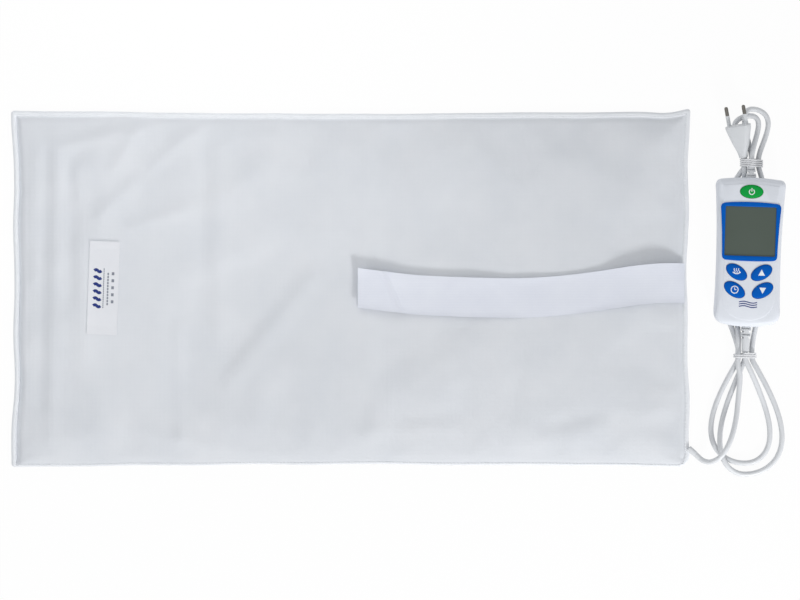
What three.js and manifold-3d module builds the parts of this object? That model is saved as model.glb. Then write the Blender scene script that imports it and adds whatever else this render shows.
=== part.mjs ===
// Heating pad with a wired handset: a soft pad with a strap, and a controller between two folded leads.
// Millimetres, +Z up. The origin is the middle of the pad's underside, which lies on the table.
import * as THREE from 'three';
import { mergeVertices } from 'three/addons/utils/BufferGeometryUtils.js';
import Module from 'manifold-3d';

const wasm = await Module();
wasm.setup();

// Clearances
const GAP = 0.3;
const KEY_CLEARANCE = 0.35;

// Pad
const PAD_LENGTH = 678;
const PAD_WIDTH = 356;
const PAD_SIDE_DRAW = 2.5;
const PAD_CORNER_R = 6;
const PAD_LEAD_CORNER_R = 14;
const HEM_WIDTH = 6.5;
const HEM_HEIGHT = 3.6;
const HEM_GROOVE = 0.7;
const CROWN_RUN = 55;
// Grid lines of the covers, from the edge inwards
const EDGE_LINES = [0, 3, HEM_WIDTH, HEM_WIDTH + 2, 15, 25, 39, CROWN_RUN];
const BACK_EDGE_LINES = [0, 3, HEM_WIDTH, 15];
const PAD_HEIGHT = 10.5;
const BACK_COVER = 1;
const FRONT_COVER = 2.2;
const FELT = 2;
const FELT_MARGIN = 4;
const WIRE_D = 2.2;
const WIRE_RUNS = 8;
const WIRE_PITCH = 28;
const WIRE_RUN_LENGTH = 520;
const CUTOUT = [22, 9, 1.8];

// Label and strap
const LABEL = [30, 93, 0.6];
const LABEL_FROM_END = 92.4;
const LABEL_Y = 1;
const LABEL_TURN = -2;
const STRAP_WIDTH = 39.5;
const STRAP_THICK = 1;
const PATCH = [34, 34, 1];
// Strap stations: distance from the pad's right end, middle across the pad, height over the pad's top
const STRAP_STATIONS = [
  [332, 1.2, 1.6], [317, -0.8, 1.6], [299, -3, 1.6], [277, -5.5, 0.3], [260, -6.6, 0.3], [215, -8.4, 0.3],
  [170, -9, 0.3], [129, -6.5, 0.8], [90, -1.7, 3], [59, 3, 6], [35, 5.5, 5], [17, 6, 0], [6, 5.6, -6.2],
];

// Leads
const MAINS_D = 5.2;
const PAD_LEAD_D = 5.3;
const LAYER = 6.6;
const TIE_SLACK = 0.6;
const TIE_LIFT = 2.45;
const TIE_D = 1.7;
const TIE_TURNS = 2.25;
const TIE_PITCH = 2.3;
const TIE_HALF = 4.2;
const TIE_STEPS = 18;
const LOBE_STEPS = 24;
const LEAD_SIDES = 6;
// From each relief's tip to its tie
const PAD_TIE_STEP = [0.79, -3.55];
const MAINS_TIE_STEP = [1.25, 3.45];
const GLAND_D = 6.6;
const GLAND_LENGTH = 4.5;
const GLAND_Z = 3.4;
const GLAND_FROM_CORNER = 15.6;
const TAIL_LEAD_OUT = 3;
// Tail stations: share of the way across and along from the tie to the gland, height
const PAD_TAIL = [
  [-0.041, 0.081, 11.2], [-0.026, 0.232, 9.4], [0.007, 0.405, 8.6], [0.055, 0.579, 11], [0.136, 0.741, 14.8],
  [0.246, 0.88, 17.4], [0.38, 0.989, 17.2], [0.518, 1.054, 14.4], [0.69, 1.087, 8.6], [0.855, 1.065, 4.4],
];

// Handset, in its own frame: u across, v along, w up
const HANDSET_FROM_PAD = 57.1;
const HANDSET_Y = 36.6;
const HANDSET_TURN = -1.9;
const HANDSET_LIFT = Math.max(MAINS_D, PAD_LEAD_D) + 0.45;
const HANDSET_HALF_LENGTH = 74.3;
const TOP_BULGE = 1.8;
const FOOT_BULGE = 3.4;
const TOP_HALF_WIDTH = 34.6;
const WAIST_HALF_WIDTH = 31.6;
const FOOT_HALF_WIDTH = 32.8;
const TOP_CORNER_R = 7;
const FOOT_CORNER_R = 12;
const HANDSET_HEIGHT = 20.5;
const PARTING_HEIGHT = 9;
const WALL = 2;
const FACE_INSET = 6.5;
const SCREW_TOP = [24.5, HANDSET_HALF_LENGTH - 13.3];
const SCREW_FOOT = [21, 17.3 - HANDSET_HALF_LENGTH];
const SCREW_PLACES = [SCREW_TOP, SCREW_FOOT].flatMap(([u, v]) => [[-u, v], [u, v]]);
const SCREW_D = 2.5;
const SCREW_HEAD = [5.2, 1.8];
const BOSS_D = 6.4;

// Key rows along the handset, from its ends
const POWER_V = HANDSET_HALF_LENGTH - 14.3;
const LOWER_KEYS_V = 36.5 - HANDSET_HALF_LENGTH;
const UPPER_KEYS_V = LOWER_KEYS_V + 17.6;

// Display, in the length left between the keys
const BEZEL_TOP_HALF = 30;
const BEZEL_FOOT_HALF = 27.5;
const BEZEL_TOP = POWER_V - 10;
const BEZEL_FOOT = UPPER_KEYS_V + 10.9;
const DISPLAY_TOP = BEZEL_TOP - 5;
const DISPLAY_FOOT = BEZEL_FOOT + 5.3;
const DISPLAY = [50.4, DISPLAY_TOP - DISPLAY_FOOT];
const DISPLAY_V = (DISPLAY_TOP + DISPLAY_FOOT) / 2;
const BEZEL_PROUD = 0.8;
const PANEL_THICK = 2.3;
const BOARD = [54, 2 * HANDSET_HALF_LENGTH - 22.6, 1.6];
const BOARD_FLOOR = 11;
const RELAY = [19, 15.5, 7.5];
const RELAY_AT = [-8, 22];
const CAPACITOR = [13, 5.5, 6.5];
const CAPACITOR_AT = [10, UPPER_KEYS_V + 8.2];
const TERMINAL = [12, 8, 6.5];
const MAINS_TERMINAL_V = HANDSET_HALF_LENGTH - 22.3;
const PAD_TERMINAL_V = 20.3 - HANDSET_HALF_LENGTH;

// Keys: name, u, v, tilt in degrees, colour
const KEY_HALF = [11.4, 6.6];
const KEY_FLANGE = 0.9;
const KEY_FLANGE_THICK = 1.2;
const KEY_PROUD = 1.6;
const KEYS = [
  ['power', 0, POWER_V, 0, 0x119646],
  ['heat', -12.4, UPPER_KEYS_V, -31, 0x0c5db8],
  ['up', 12.4, UPPER_KEYS_V, 31, 0x0c5db8],
  ['timer', -13.9, LOWER_KEYS_V, -31, 0x0c5db8],
  ['down', 13.9, LOWER_KEYS_V, 31, 0x0c5db8],
];

// Strain reliefs and plug
const RELIEF_D = 10.4;
const RELIEF_TIP_D = 7.4;
const RELIEF_NECK_D = 8.4;
const RELIEF_FLANGE = [11.4, 2];
const RELIEF_SEAT = 0.9;
const RELIEF_RIBS = 4;
const RELIEF_RIB_PITCH = 3;
const PAD_RELIEF_LENGTH = 25;
const MAINS_RELIEF_LENGTH = 11.5;
const PLUG_LENGTH = 33;
const PLUG_FACE = [25.5, 12.5];
// Plug stations: shares of its length, width and thickness
const PLUG_STATIONS = [
  [0, 0.314, 0.64], [0.182, 0.337, 0.688], [0.364, 0.49, 0.768], [0.545, 0.686, 0.88], [0.727, 0.843, 0.96],
  [0.879, 0.961, 1], [0.976, 1, 1], [1, 0.945, 0.888],
];
const PLUG_ROUND = 0.242;
const PLUG_ROLL = 28;
const PLUG_LEAN = 11;
const PLUG_PITCH = 9;
const PIN_D = 4;
const PIN_LENGTH = 19;
const PIN_SLEEVE = 10;
const PIN_SPACING = 18.6;

const part = new THREE.Group();
const handset = new THREE.Group();
handset.position.set(PAD_LENGTH / 2 + HANDSET_FROM_PAD, HANDSET_Y, HANDSET_LIFT);
handset.rotation.z = THREE.MathUtils.degToRad(HANDSET_TURN);
part.add(handset);

// Helpers
const rad = THREE.MathUtils.degToRad;
const smooth = (a, b, x) => THREE.MathUtils.smoothstep(x, a, b);

function piece(parent, name, geometry, color, roughness = 0.6, metalness = 0) {
  const mesh = new THREE.Mesh(geometry, new THREE.MeshStandardMaterial({ color, roughness, metalness }));
  mesh.name = name;
  parent.add(mesh);
  return mesh;
}

function solid(geometry) {
  const bare = geometry.clone();
  bare.deleteAttribute('normal');
  bare.deleteAttribute('uv');
  const merged = mergeVertices(bare, 1e-4);
  const vertProperties = new Float32Array(merged.attributes.position.array);
  const triVerts = new Uint32Array(merged.index.array);
  return new wasm.Manifold(new wasm.Mesh({ numProp: 3, vertProperties, triVerts }));
}

function fromSolid(body) {
  const mesh = body.getMesh();
  const geometry = new THREE.BufferGeometry();
  geometry.setAttribute('position', new THREE.BufferAttribute(new Float32Array(mesh.vertProperties), 3));
  geometry.setIndex(new THREE.BufferAttribute(new Uint32Array(mesh.triVerts), 1));
  return geometry;
}

// Closed skin through a list of rings with equal point counts, with flat fans over both ends
function loft(rings) {
  const n = rings[0].length;
  const points = rings.flat();
  const index = [];
  for (let k = 0; k < rings.length - 1; k++) {
    for (let i = 0; i < n; i++) {
      const j = (i + 1) % n;
      const a = k * n + i;
      const b = k * n + j;
      index.push(a, b, b + n, a, b + n, a + n);
    }
  }
  const middle = (ring) => ring.reduce((s, p) => s.add(p), new THREE.Vector3()).divideScalar(n);
  const first = points.push(middle(rings[0])) - 1;
  const last = points.push(middle(rings[rings.length - 1])) - 1;
  const top = (rings.length - 1) * n;
  for (let i = 0; i < n; i++) {
    const j = (i + 1) % n;
    index.push(first, j, i, last, top + i, top + j);
  }
  const geometry = new THREE.BufferGeometry().setFromPoints(points);
  geometry.setIndex(index);
  return geometry;
}

// Tube of a set number of sides along points, with square ends
function tube(points, diameter, sides) {
  const r = diameter / 2;
  const tangents = points.map((p, i) => {
    const a = points[Math.max(i - 1, 0)];
    const b = points[Math.min(i + 1, points.length - 1)];
    return b.clone().sub(a).normalize();
  });
  let normal = new THREE.Vector3(0, 0, 1);
  const rings = points.map((p, i) => {
    normal = normal.clone().addScaledVector(tangents[i], -normal.dot(tangents[i])).normalize();
    const side = tangents[i].clone().cross(normal);
    return Array.from({ length: sides }, (_, k) => {
      const angle = (2 * Math.PI * (k + 0.5)) / sides;
      return p.clone().addScaledVector(normal, r * Math.cos(angle)).addScaledVector(side, r * Math.sin(angle));
    });
  });
  return loft(rings);
}

function resample(points, steps) {
  const curve = new THREE.CatmullRomCurve3(points, false, 'centripetal');
  curve.arcLengthDivisions = points.length * 12;
  return curve.getSpacedPoints(steps);
}

// Slab with an outline in the plane, between two heights
function slab(shape, low, high, curveSegments = 12) {
  const geometry = new THREE.ExtrudeGeometry(shape, { depth: high - low, bevelEnabled: false, curveSegments });
  geometry.translate(0, 0, low);
  return geometry;
}

function rectangle(width, length, radius) {
  const x = width / 2;
  const y = length / 2;
  const shape = new THREE.Shape();
  shape.moveTo(-x + radius, -y);
  shape.lineTo(x - radius, -y);
  shape.absarc(x - radius, -y + radius, radius, -Math.PI / 2, 0);
  shape.absarc(x - radius, y - radius, radius, 0, Math.PI / 2);
  shape.absarc(-x + radius, y - radius, radius, Math.PI / 2, Math.PI);
  shape.absarc(-x + radius, -y + radius, radius, Math.PI, 1.5 * Math.PI);
  return shape;
}

function block(width, length, low, high, u = 0, v = 0, radius = 0.6) {
  const geometry = slab(rectangle(width, length, radius), low, high, 3);
  geometry.translate(u, v, 0);
  return geometry;
}

function rod(diameter, low, high, u, v, sides = 12) {
  const geometry = new THREE.CylinderGeometry(diameter / 2, diameter / 2, high - low, sides);
  geometry.rotateX(Math.PI / 2);
  geometry.translate(u, v, (low + high) / 2);
  return geometry;
}

// The pad's covers: a grid whose lines crowd towards the edges, bent into rounded corners and drawn-in sides
function gridLines(length, inner, edge = EDGE_LINES) {
  const half = length / 2;
  const left = edge.map((d) => -half + d);
  const span = 2 * (half - CROWN_RUN);
  const middle = Array.from({ length: inner }, (_, i) => -span / 2 + (span * (i + 1)) / (inner + 1));
  return [...left, ...middle, ...left.map((x) => -x).reverse()];
}

function padPoint(x, y) {
  const halfX = PAD_LENGTH / 2;
  const halfY = PAD_WIDTH / 2;
  const radius = x > 0 && y < 0 ? PAD_LEAD_CORNER_R : PAD_CORNER_R;
  const u = Math.abs(x) - (halfX - radius);
  const v = Math.abs(y) - (halfY - radius);
  let px = x;
  let py = y;
  if (u > 0 && v > 0) {
    const pull = Math.max(u, v) / Math.hypot(u, v);
    px = Math.sign(x) * (halfX - radius + u * pull);
    py = Math.sign(y) * (halfY - radius + v * pull);
  }
  const drawX = 1 - (PAD_SIDE_DRAW / halfX) * (1 - (y / halfY) ** 2);
  const drawY = 1 - (PAD_SIDE_DRAW / halfY) * (1 - (x / halfX) ** 2);
  return [px * drawX, py * drawY];
}

function crown(x, y, edge, top) {
  const d = Math.min(PAD_LENGTH / 2 - Math.abs(x), PAD_WIDTH / 2 - Math.abs(y));
  return edge + (top - edge) * smooth(HEM_WIDTH + 1, CROWN_RUN, d);
}

function frontTop(x, y) {
  const d = Math.min(PAD_LENGTH / 2 - Math.abs(x), PAD_WIDTH / 2 - Math.abs(y));
  const groove = Math.abs(d - HEM_WIDTH - 2) < 0.1 ? HEM_GROOVE : 0;
  return crown(x, y, HEM_HEIGHT, PAD_HEIGHT) - groove;
}

function coverSheet(columns, rows, low, high) {
  const nx = columns.length;
  const ny = rows.length;
  const points = [];
  for (const height of [low, high]) {
    for (const y of rows) {
      for (const x of columns) {
        const [px, py] = padPoint(x, y);
        points.push(new THREE.Vector3(px, py, height(x, y)));
      }
    }
  }
  const index = [];
  const at = (i, j, layer) => layer * nx * ny + j * nx + i;
  const quad = (a, b, c, d) => index.push(a, b, c, a, c, d);
  for (let j = 0; j < ny - 1; j++) {
    for (let i = 0; i < nx - 1; i++) {
      quad(at(i, j, 1), at(i + 1, j, 1), at(i + 1, j + 1, 1), at(i, j + 1, 1));
      quad(at(i, j, 0), at(i, j + 1, 0), at(i + 1, j + 1, 0), at(i + 1, j, 0));
    }
  }
  for (let i = 0; i < nx - 1; i++) {
    quad(at(i, 0, 0), at(i + 1, 0, 0), at(i + 1, 0, 1), at(i, 0, 1));
    quad(at(i, ny - 1, 0), at(i, ny - 1, 1), at(i + 1, ny - 1, 1), at(i + 1, ny - 1, 0));
  }
  for (let j = 0; j < ny - 1; j++) {
    quad(at(0, j, 0), at(0, j, 1), at(0, j + 1, 1), at(0, j + 1, 0));
    quad(at(nx - 1, j, 0), at(nx - 1, j + 1, 0), at(nx - 1, j + 1, 1), at(nx - 1, j, 1));
  }
  const geometry = new THREE.BufferGeometry().setFromPoints(points);
  geometry.setIndex(index);
  return geometry;
}

const columns = gridLines(PAD_LENGTH, 7);
const rows = gridLines(PAD_WIDTH, 4);
const backColumns = gridLines(PAD_LENGTH, 3, BACK_EDGE_LINES);
const backRows = gridLines(PAD_WIDTH, 3, BACK_EDGE_LINES);
const frontLow = (x, y) => crown(x, y, BACK_COVER, PAD_HEIGHT - FRONT_COVER);
piece(part, 'back_cover', coverSheet(backColumns, backRows, () => 0, () => BACK_COVER), 0xe4e6ec, 0.95);
piece(part, 'front_cover', coverSheet(columns, rows, frontLow, frontTop), 0xe6e9ee, 0.95);

// Felts, heating wire and thermal cut-out
const feltInset = CROWN_RUN + FELT_MARGIN;
const feltSize = [PAD_LENGTH - 2 * feltInset, PAD_WIDTH - 2 * feltInset];
const lowerFeltTop = BACK_COVER + FELT;
const wireZ = lowerFeltTop + WIRE_D / 2 + GAP / 2;
const upperFeltLow = wireZ + WIRE_D / 2 + GAP / 2;
const upperFeltTop = PAD_HEIGHT - FRONT_COVER - GAP;
const feltShape = rectangle(feltSize[0], feltSize[1], 10);
piece(part, 'lower_felt', slab(feltShape, BACK_COVER, lowerFeltTop, 4), 0xd8d4c8, 1);
piece(part, 'upper_felt', slab(feltShape, upperFeltLow, upperFeltTop, 4), 0xd8d4c8, 1);

function wireRoute() {
  const points = [];
  const turnR = WIRE_PITCH / 2;
  const halfRun = WIRE_RUN_LENGTH / 2 - turnR;
  for (let run = 0; run < WIRE_RUNS; run++) {
    const y = (run - (WIRE_RUNS - 1) / 2) * WIRE_PITCH;
    const way = run % 2 ? -1 : 1;
    points.push(new THREE.Vector3(-way * halfRun, y, wireZ));
    points.push(new THREE.Vector3(way * halfRun, y, wireZ));
    const bends = run < WIRE_RUNS - 1 ? 5 : 0;
    for (let k = 1; k <= bends; k++) {
      const angle = (Math.PI * k) / (bends + 1);
      const out = way * (halfRun + turnR * Math.sin(angle));
      points.push(new THREE.Vector3(out, y + turnR * (1 - Math.cos(angle)), wireZ));
    }
  }
  return points;
}

piece(part, 'heating_wire', tube(wireRoute(), WIRE_D, 6), 0xb06a3a, 0.4, 0.6);
const cutoutLow = lowerFeltTop;
const cutoutY = -((WIRE_RUNS - 1) / 2 - 1.5) * WIRE_PITCH;
const cutout = block(CUTOUT[0], CUTOUT[1], cutoutLow, cutoutLow + CUTOUT[2], 0, cutoutY);
piece(part, 'thermal_cutout', cutout, 0x3a3a3a);

// Label, strap and hook patch
const labelTape = block(LABEL[0], LABEL[1], PAD_HEIGHT, PAD_HEIGHT + LABEL[2]);
const label = piece(part, 'label', labelTape, 0xe2e3e8, 0.9);
label.rotation.z = rad(LABEL_TURN);
label.position.set(-PAD_LENGTH / 2 + LABEL_FROM_END, LABEL_Y, 0);

function strap() {
  const rings = STRAP_STATIONS.map(([fromEnd, y, lift]) => {
    const low = PAD_HEIGHT + lift;
    const x = PAD_LENGTH / 2 - fromEnd;
    const corner = (side, z) => new THREE.Vector3(x, y + (side * STRAP_WIDTH) / 2, z);
    const high = low + STRAP_THICK;
    return [corner(-1, low), corner(1, low), corner(1, high), corner(-1, high)];
  });
  return loft(rings);
}

piece(part, 'strap', strap(), 0xdce0ea, 0.8);
const patchU = PAD_LENGTH / 2 - STRAP_STATIONS[0][0] + PATCH[0] / 2;
const patchV = STRAP_STATIONS[1][1];
const patchLow = PAD_HEIGHT + GAP;
const patch = block(PATCH[0], PATCH[1], patchLow, patchLow + PATCH[2], patchU, patchV);
piece(part, 'strap_hook_patch', patch, 0xd4d7de, 1);

// Handset outline, drawn in by an inset all round
function handsetOutline(inset) {
  const top = HANDSET_HALF_LENGTH - inset;
  const wide = TOP_HALF_WIDTH - inset;
  const waist = WAIST_HALF_WIDTH - inset;
  const foot = FOOT_HALF_WIDTH - inset;
  const r = Math.max(TOP_CORNER_R - inset, 1.5);
  const q = Math.max(FOOT_CORNER_R - inset, 2);
  const right = new THREE.Path();
  right.moveTo(0, -top);
  right.quadraticCurveTo(foot * 0.35, -top, foot - q, -top + FOOT_BULGE * 0.6);
  right.quadraticCurveTo(foot, -top + FOOT_BULGE, foot, -top + q + FOOT_BULGE);
  right.bezierCurveTo(waist - 0.2, -top * 0.4, waist - 0.6, top * 0.3, wide, top - r - TOP_BULGE);
  right.quadraticCurveTo(wide, top - TOP_BULGE, wide - r, top - TOP_BULGE);
  right.quadraticCurveTo(wide * 0.4, top, 0, top);
  const half = right.getPoints(5);
  const left = half.slice(1, -1).reverse().map((p) => new THREE.Vector2(-p.x, p.y));
  return [...half, ...left];
}

function handsetRing([inset, height]) {
  return handsetOutline(inset).map((p) => new THREE.Vector3(p.x, p.y, height));
}

const PART = PARTING_HEIGHT;
const FACE = HANDSET_HEIGHT;
const CEILING = FACE - WALL;
const frontOuter = [[0, PART], [0, 13], [0.7, 16], [2.2, 18.2], [4, 19.4]];
frontOuter.push([FACE_INSET, FACE - 0.4], [FACE_INSET + 0.5, FACE]);
const frontInner = [[WALL, PART - 1], [WALL, 13], [WALL + 1, 16], [WALL + 3, CEILING]];
const rearOuter = [[5, 0], [2.4, 0.8], [0.8, 2.6], [0, 5], [0, PART]];
const rearInner = [[6, WALL], [WALL + 1, WALL + 1.5], [WALL, 6], [WALL, PART + 1]];
let frontShell = solid(loft(frontOuter.map(handsetRing))).subtract(solid(loft(frontInner.map(handsetRing))));
let rearShell = solid(loft(rearOuter.map(handsetRing))).subtract(solid(loft(rearInner.map(handsetRing))));

// Screw bosses, screws and the board that the rear bosses carry
const boardTop = BOARD_FLOOR + BOARD[2];
const headDepth = SCREW_HEAD[1] + 1.2;
const bossFloor = headDepth + 1.4;
const screwHole = SCREW_D + 2 * GAP;
const frontBossLow = boardTop + GAP;
let board = solid(block(BOARD[0], BOARD[1], BOARD_FLOOR, boardTop, 0, -1, 3));
for (const [u, v] of SCREW_PLACES) {
  rearShell = rearShell.add(solid(rod(BOSS_D + 2, 1, bossFloor, u, v)));
  rearShell = rearShell.add(solid(rod(BOSS_D, 1, BOARD_FLOOR, u, v)));
  rearShell = rearShell.subtract(solid(rod(SCREW_HEAD[0] + 2 * GAP, -1, headDepth, u, v)));
  rearShell = rearShell.subtract(solid(rod(screwHole, 0, BOARD_FLOOR + 1, u, v)));
  frontShell = frontShell.add(solid(rod(BOSS_D, frontBossLow, CEILING + 0.5, u, v)));
  frontShell = frontShell.subtract(solid(rod(screwHole, frontBossLow - 1, CEILING - 1, u, v)));
  board = board.subtract(solid(rod(screwHole, BOARD_FLOOR - 1, boardTop + 1, u, v)));
}

SCREW_PLACES.forEach(([u, v], i) => {
  const headLow = headDepth - GAP - SCREW_HEAD[1];
  const profile = [[0, headLow], [SCREW_HEAD[0] / 2, headLow], [SCREW_HEAD[0] / 2, headDepth - GAP]];
  profile.push([SCREW_D / 2, headDepth - GAP], [SCREW_D / 2, CEILING - 1.5], [0, CEILING - 1.5]);
  const geometry = new THREE.LatheGeometry(profile.map(([x, y]) => new THREE.Vector2(x, y)), 16);
  geometry.rotateX(Math.PI / 2);
  geometry.translate(u, v, 0);
  piece(handset, `case_screw_${i + 1}`, geometry, 0x9a9da2, 0.35, 1);
});

// Display opening, lens, panel and light guide
const panelTop = CEILING - GAP;
const panelLow = panelTop - PANEL_THICK;
const opening = [DISPLAY[0] + 1.2, DISPLAY[1] + 1.2];
const window = block(opening[0], opening[1], CEILING - 1, FACE + 1, 0, DISPLAY_V, 1.5);
frontShell = frontShell.subtract(solid(window));
const lens = block(opening[0] - 2 * GAP, opening[1] - 2 * GAP, CEILING, FACE - GAP, 0, DISPLAY_V, 1.4);
piece(handset, 'display_lens', lens, 0x565d57, 0.12);
const panelSize = [opening[0] + 1.4, opening[1] + 3];
const panel = block(panelSize[0], panelSize[1], panelLow, panelTop, 0, DISPLAY_V);
piece(handset, 'display_panel', panel, 0x6d756c, 0.3);
const guide = block(panelSize[0] - 2, panelSize[1] - 2, boardTop, panelLow - GAP, 0, DISPLAY_V);
piece(handset, 'light_guide', guide, 0xe8ece4, 0.2);

function bezelShape() {
  const shape = new THREE.Shape();
  const r = 4;
  const shoulder = BEZEL_TOP - 2.4;
  const heel = BEZEL_FOOT + 2;
  const waist = BEZEL_FOOT_HALF + 0.4;
  shape.moveTo(-BEZEL_FOOT_HALF + r, heel - 1);
  shape.quadraticCurveTo(0, BEZEL_FOOT - 0.6, BEZEL_FOOT_HALF - r, heel - 1);
  shape.quadraticCurveTo(BEZEL_FOOT_HALF, heel - 0.5, BEZEL_FOOT_HALF, heel + r);
  shape.quadraticCurveTo(waist, DISPLAY_V, BEZEL_TOP_HALF, shoulder - r);
  shape.quadraticCurveTo(BEZEL_TOP_HALF, shoulder, BEZEL_TOP_HALF - r, shoulder + 0.8);
  shape.quadraticCurveTo(0, BEZEL_TOP + 1, -BEZEL_TOP_HALF + r, shoulder + 0.8);
  shape.quadraticCurveTo(-BEZEL_TOP_HALF, shoulder, -BEZEL_TOP_HALF, shoulder - r);
  shape.quadraticCurveTo(-waist, DISPLAY_V, -BEZEL_FOOT_HALF, heel + r);
  shape.quadraticCurveTo(-BEZEL_FOOT_HALF, heel - 0.5, -BEZEL_FOOT_HALF + r, heel - 1);
  return shape;
}

const bezelCut = block(DISPLAY[0], DISPLAY[1], FACE - 1, FACE + BEZEL_PROUD + 1, 0, DISPLAY_V, 1);
const bezel = solid(slab(bezelShape(), FACE, FACE + BEZEL_PROUD, 6)).subtract(solid(bezelCut));
piece(handset, 'bezel', fromSolid(bezel), 0x0c5db8, 0.35);

// Keys: a crowned elliptical cap over a flange that the front shell traps, each on a silicone dome
function ellipseRing(grow, height, steps = 24) {
  return Array.from({ length: steps }, (_, i) => {
    const a = (2 * Math.PI * i) / steps;
    return new THREE.Vector3((KEY_HALF[0] + grow) * Math.cos(a), (KEY_HALF[1] + grow) * Math.sin(a), height);
  });
}

function keyPlace(geometry, u, v, tilt) {
  geometry.rotateZ(rad(tilt));
  geometry.translate(u, v, 0);
  return geometry;
}

const flangeTop = CEILING - GAP;
const flangeLow = flangeTop - KEY_FLANGE_THICK;
for (const [name, u, v, tilt, color] of KEYS) {
  const hole = loft([ellipseRing(KEY_CLEARANCE, CEILING - 1), ellipseRing(KEY_CLEARANCE, FACE + 1)]);
  frontShell = frontShell.subtract(solid(keyPlace(hole, u, v, tilt)));
  const rings = [
    ellipseRing(KEY_FLANGE, flangeLow), ellipseRing(KEY_FLANGE, flangeTop), ellipseRing(0, flangeTop),
    ellipseRing(0, FACE + KEY_PROUD - 0.9), ellipseRing(-0.5, FACE + KEY_PROUD - 0.3),
    ellipseRing(-2, FACE + KEY_PROUD),
  ];
  piece(handset, `${name}_key`, keyPlace(loft(rings), u, v, tilt), color, 0.45);
  const dome = [[0, boardTop], [5, boardTop], [4.6, boardTop + 1], [3, flangeLow - GAP], [0, flangeLow - GAP]];
  const domeGeometry = new THREE.LatheGeometry(dome.map(([x, y]) => new THREE.Vector2(x, y)), 14);
  domeGeometry.rotateX(Math.PI / 2);
  piece(handset, `${name}_dome`, keyPlace(domeGeometry, u, v, tilt), 0xc9ccd0, 0.8);
}

// What the board carries on its underside
const under = BOARD_FLOOR - GAP;
piece(handset, 'circuit_board', fromSolid(board), 0x2f6b3c, 0.5);
const hung = ([width, length, height], u, v) => block(width, length, under - height, under, u, v);
piece(handset, 'relay', hung(RELAY, ...RELAY_AT), 0x1c1c1e);
piece(handset, 'capacitor', hung(CAPACITOR, ...CAPACITOR_AT), 0xc28a2c);
piece(handset, 'mains_terminal', hung(TERMINAL, 0, MAINS_TERMINAL_V), 0x3c7d4a);
piece(handset, 'pad_terminal', hung(TERMINAL, 0, PAD_TERMINAL_V), 0x3c7d4a);

// Strain reliefs through the end walls, ribbed near the case and tapering to the lead
function relief(length) {
  const flangeR = RELIEF_FLANGE[0] / 2;
  const inside = -(WALL + RELIEF_SEAT + GAP);
  const profile = [[0, inside - RELIEF_FLANGE[1]], [flangeR, inside - RELIEF_FLANGE[1]], [flangeR, inside]];
  profile.push([RELIEF_NECK_D / 2, inside], [RELIEF_NECK_D / 2, GAP]);
  const radius = (y) => (RELIEF_D - (RELIEF_D - RELIEF_TIP_D) * smooth(0, length, y)) / 2;
  profile.push([radius(0), GAP]);
  for (let i = 0; i < RELIEF_RIBS && GAP + (i + 1) * RELIEF_RIB_PITCH < length - 0.5; i++) {
    const y = GAP + (i + 1) * RELIEF_RIB_PITCH;
    const r = radius(y);
    profile.push([r, y - 1.2], [r - 1.1, y - 1.1], [r - 1.1, y - 0.1], [r, y]);
  }
  profile.push([radius(length), length], [0, length]);
  return new THREE.LatheGeometry(profile.map(([x, y]) => new THREE.Vector2(x, y)), 12);
}

const RELIEFS = [['mains_relief', 1, MAINS_RELIEF_LENGTH], ['pad_relief', -1, PAD_RELIEF_LENGTH]];
for (const [name, way, length] of RELIEFS) {
  const bore = rod(RELIEF_NECK_D + 2 * GAP, 0, 12, 0, 0, 16);
  bore.translate(0, 0, -6);
  bore.rotateX(Math.PI / 2);
  bore.translate(0, way * HANDSET_HALF_LENGTH, PART);
  frontShell = frontShell.subtract(solid(bore));
  rearShell = rearShell.subtract(solid(bore));
  const geometry = relief(length);
  if (way < 0) geometry.rotateX(Math.PI);
  geometry.translate(0, way * HANDSET_HALF_LENGTH, PART);
  piece(handset, name, geometry, 0xdfe1e4, 0.6);
}
piece(handset, 'front_shell', fromSolid(frontShell), 0xd5d9e0, 0.45);
piece(handset, 'rear_shell', fromSolid(rearShell), 0xd0d4db, 0.5);

// Leads. A hank is drawn in at its tie: lobes that show on one side, folds under the handset on the other
handset.updateMatrixWorld(true);
function reliefTip(way, length) {
  return handset.localToWorld(new THREE.Vector3(0, way * (HANDSET_HALF_LENGTH + length), PART));
}

const padTip = reliefTip(-1, PAD_RELIEF_LENGTH);
const mainsTip = reliefTip(1, MAINS_RELIEF_LENGTH);

// Each hank: its tie, its lobes as [right, left, length, roundness], its folds alike with length as a share of
// the handset's half length, where the second lobe climbs over the first, and where strands come down
const padHank = {
  at: [padTip.x + PAD_TIE_STEP[0], padTip.y + PAD_TIE_STEP[1]],
  side: -1, d: PAD_LEAD_D, tip: padTip, lastX: -7.8,
  shown: [[26.2, 31.3, 108, 1], [34.6, 26.3, 119, 1]], crossing: [244, 38], shownFall: [0, 52],
  hidden: [[20.7, 13.9, 1.122, 0.76], [10.6, 6.2, 0.873, 0.32]], hiddenFall: [0, 13], lastFall: [9.3, 29.1],
};
const mainsHank = {
  at: [mainsTip.x + MAINS_TIE_STEP[0], mainsTip.y + MAINS_TIE_STEP[1]],
  side: 1, d: MAINS_D, tip: mainsTip, lastX: -7.8,
  shown: [[8.6, 15, 47.5, 0.75], [14.3, 8.5, 54.2, 0.75]], crossing: [250, 42], shownFall: [0, 30],
  hidden: [[29.2, 14.4, 1.227, 1.11], [11, 6, 0.942, 0.3]], hiddenFall: [0, 8], lastFall: [3.6, 13.4],
};

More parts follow.
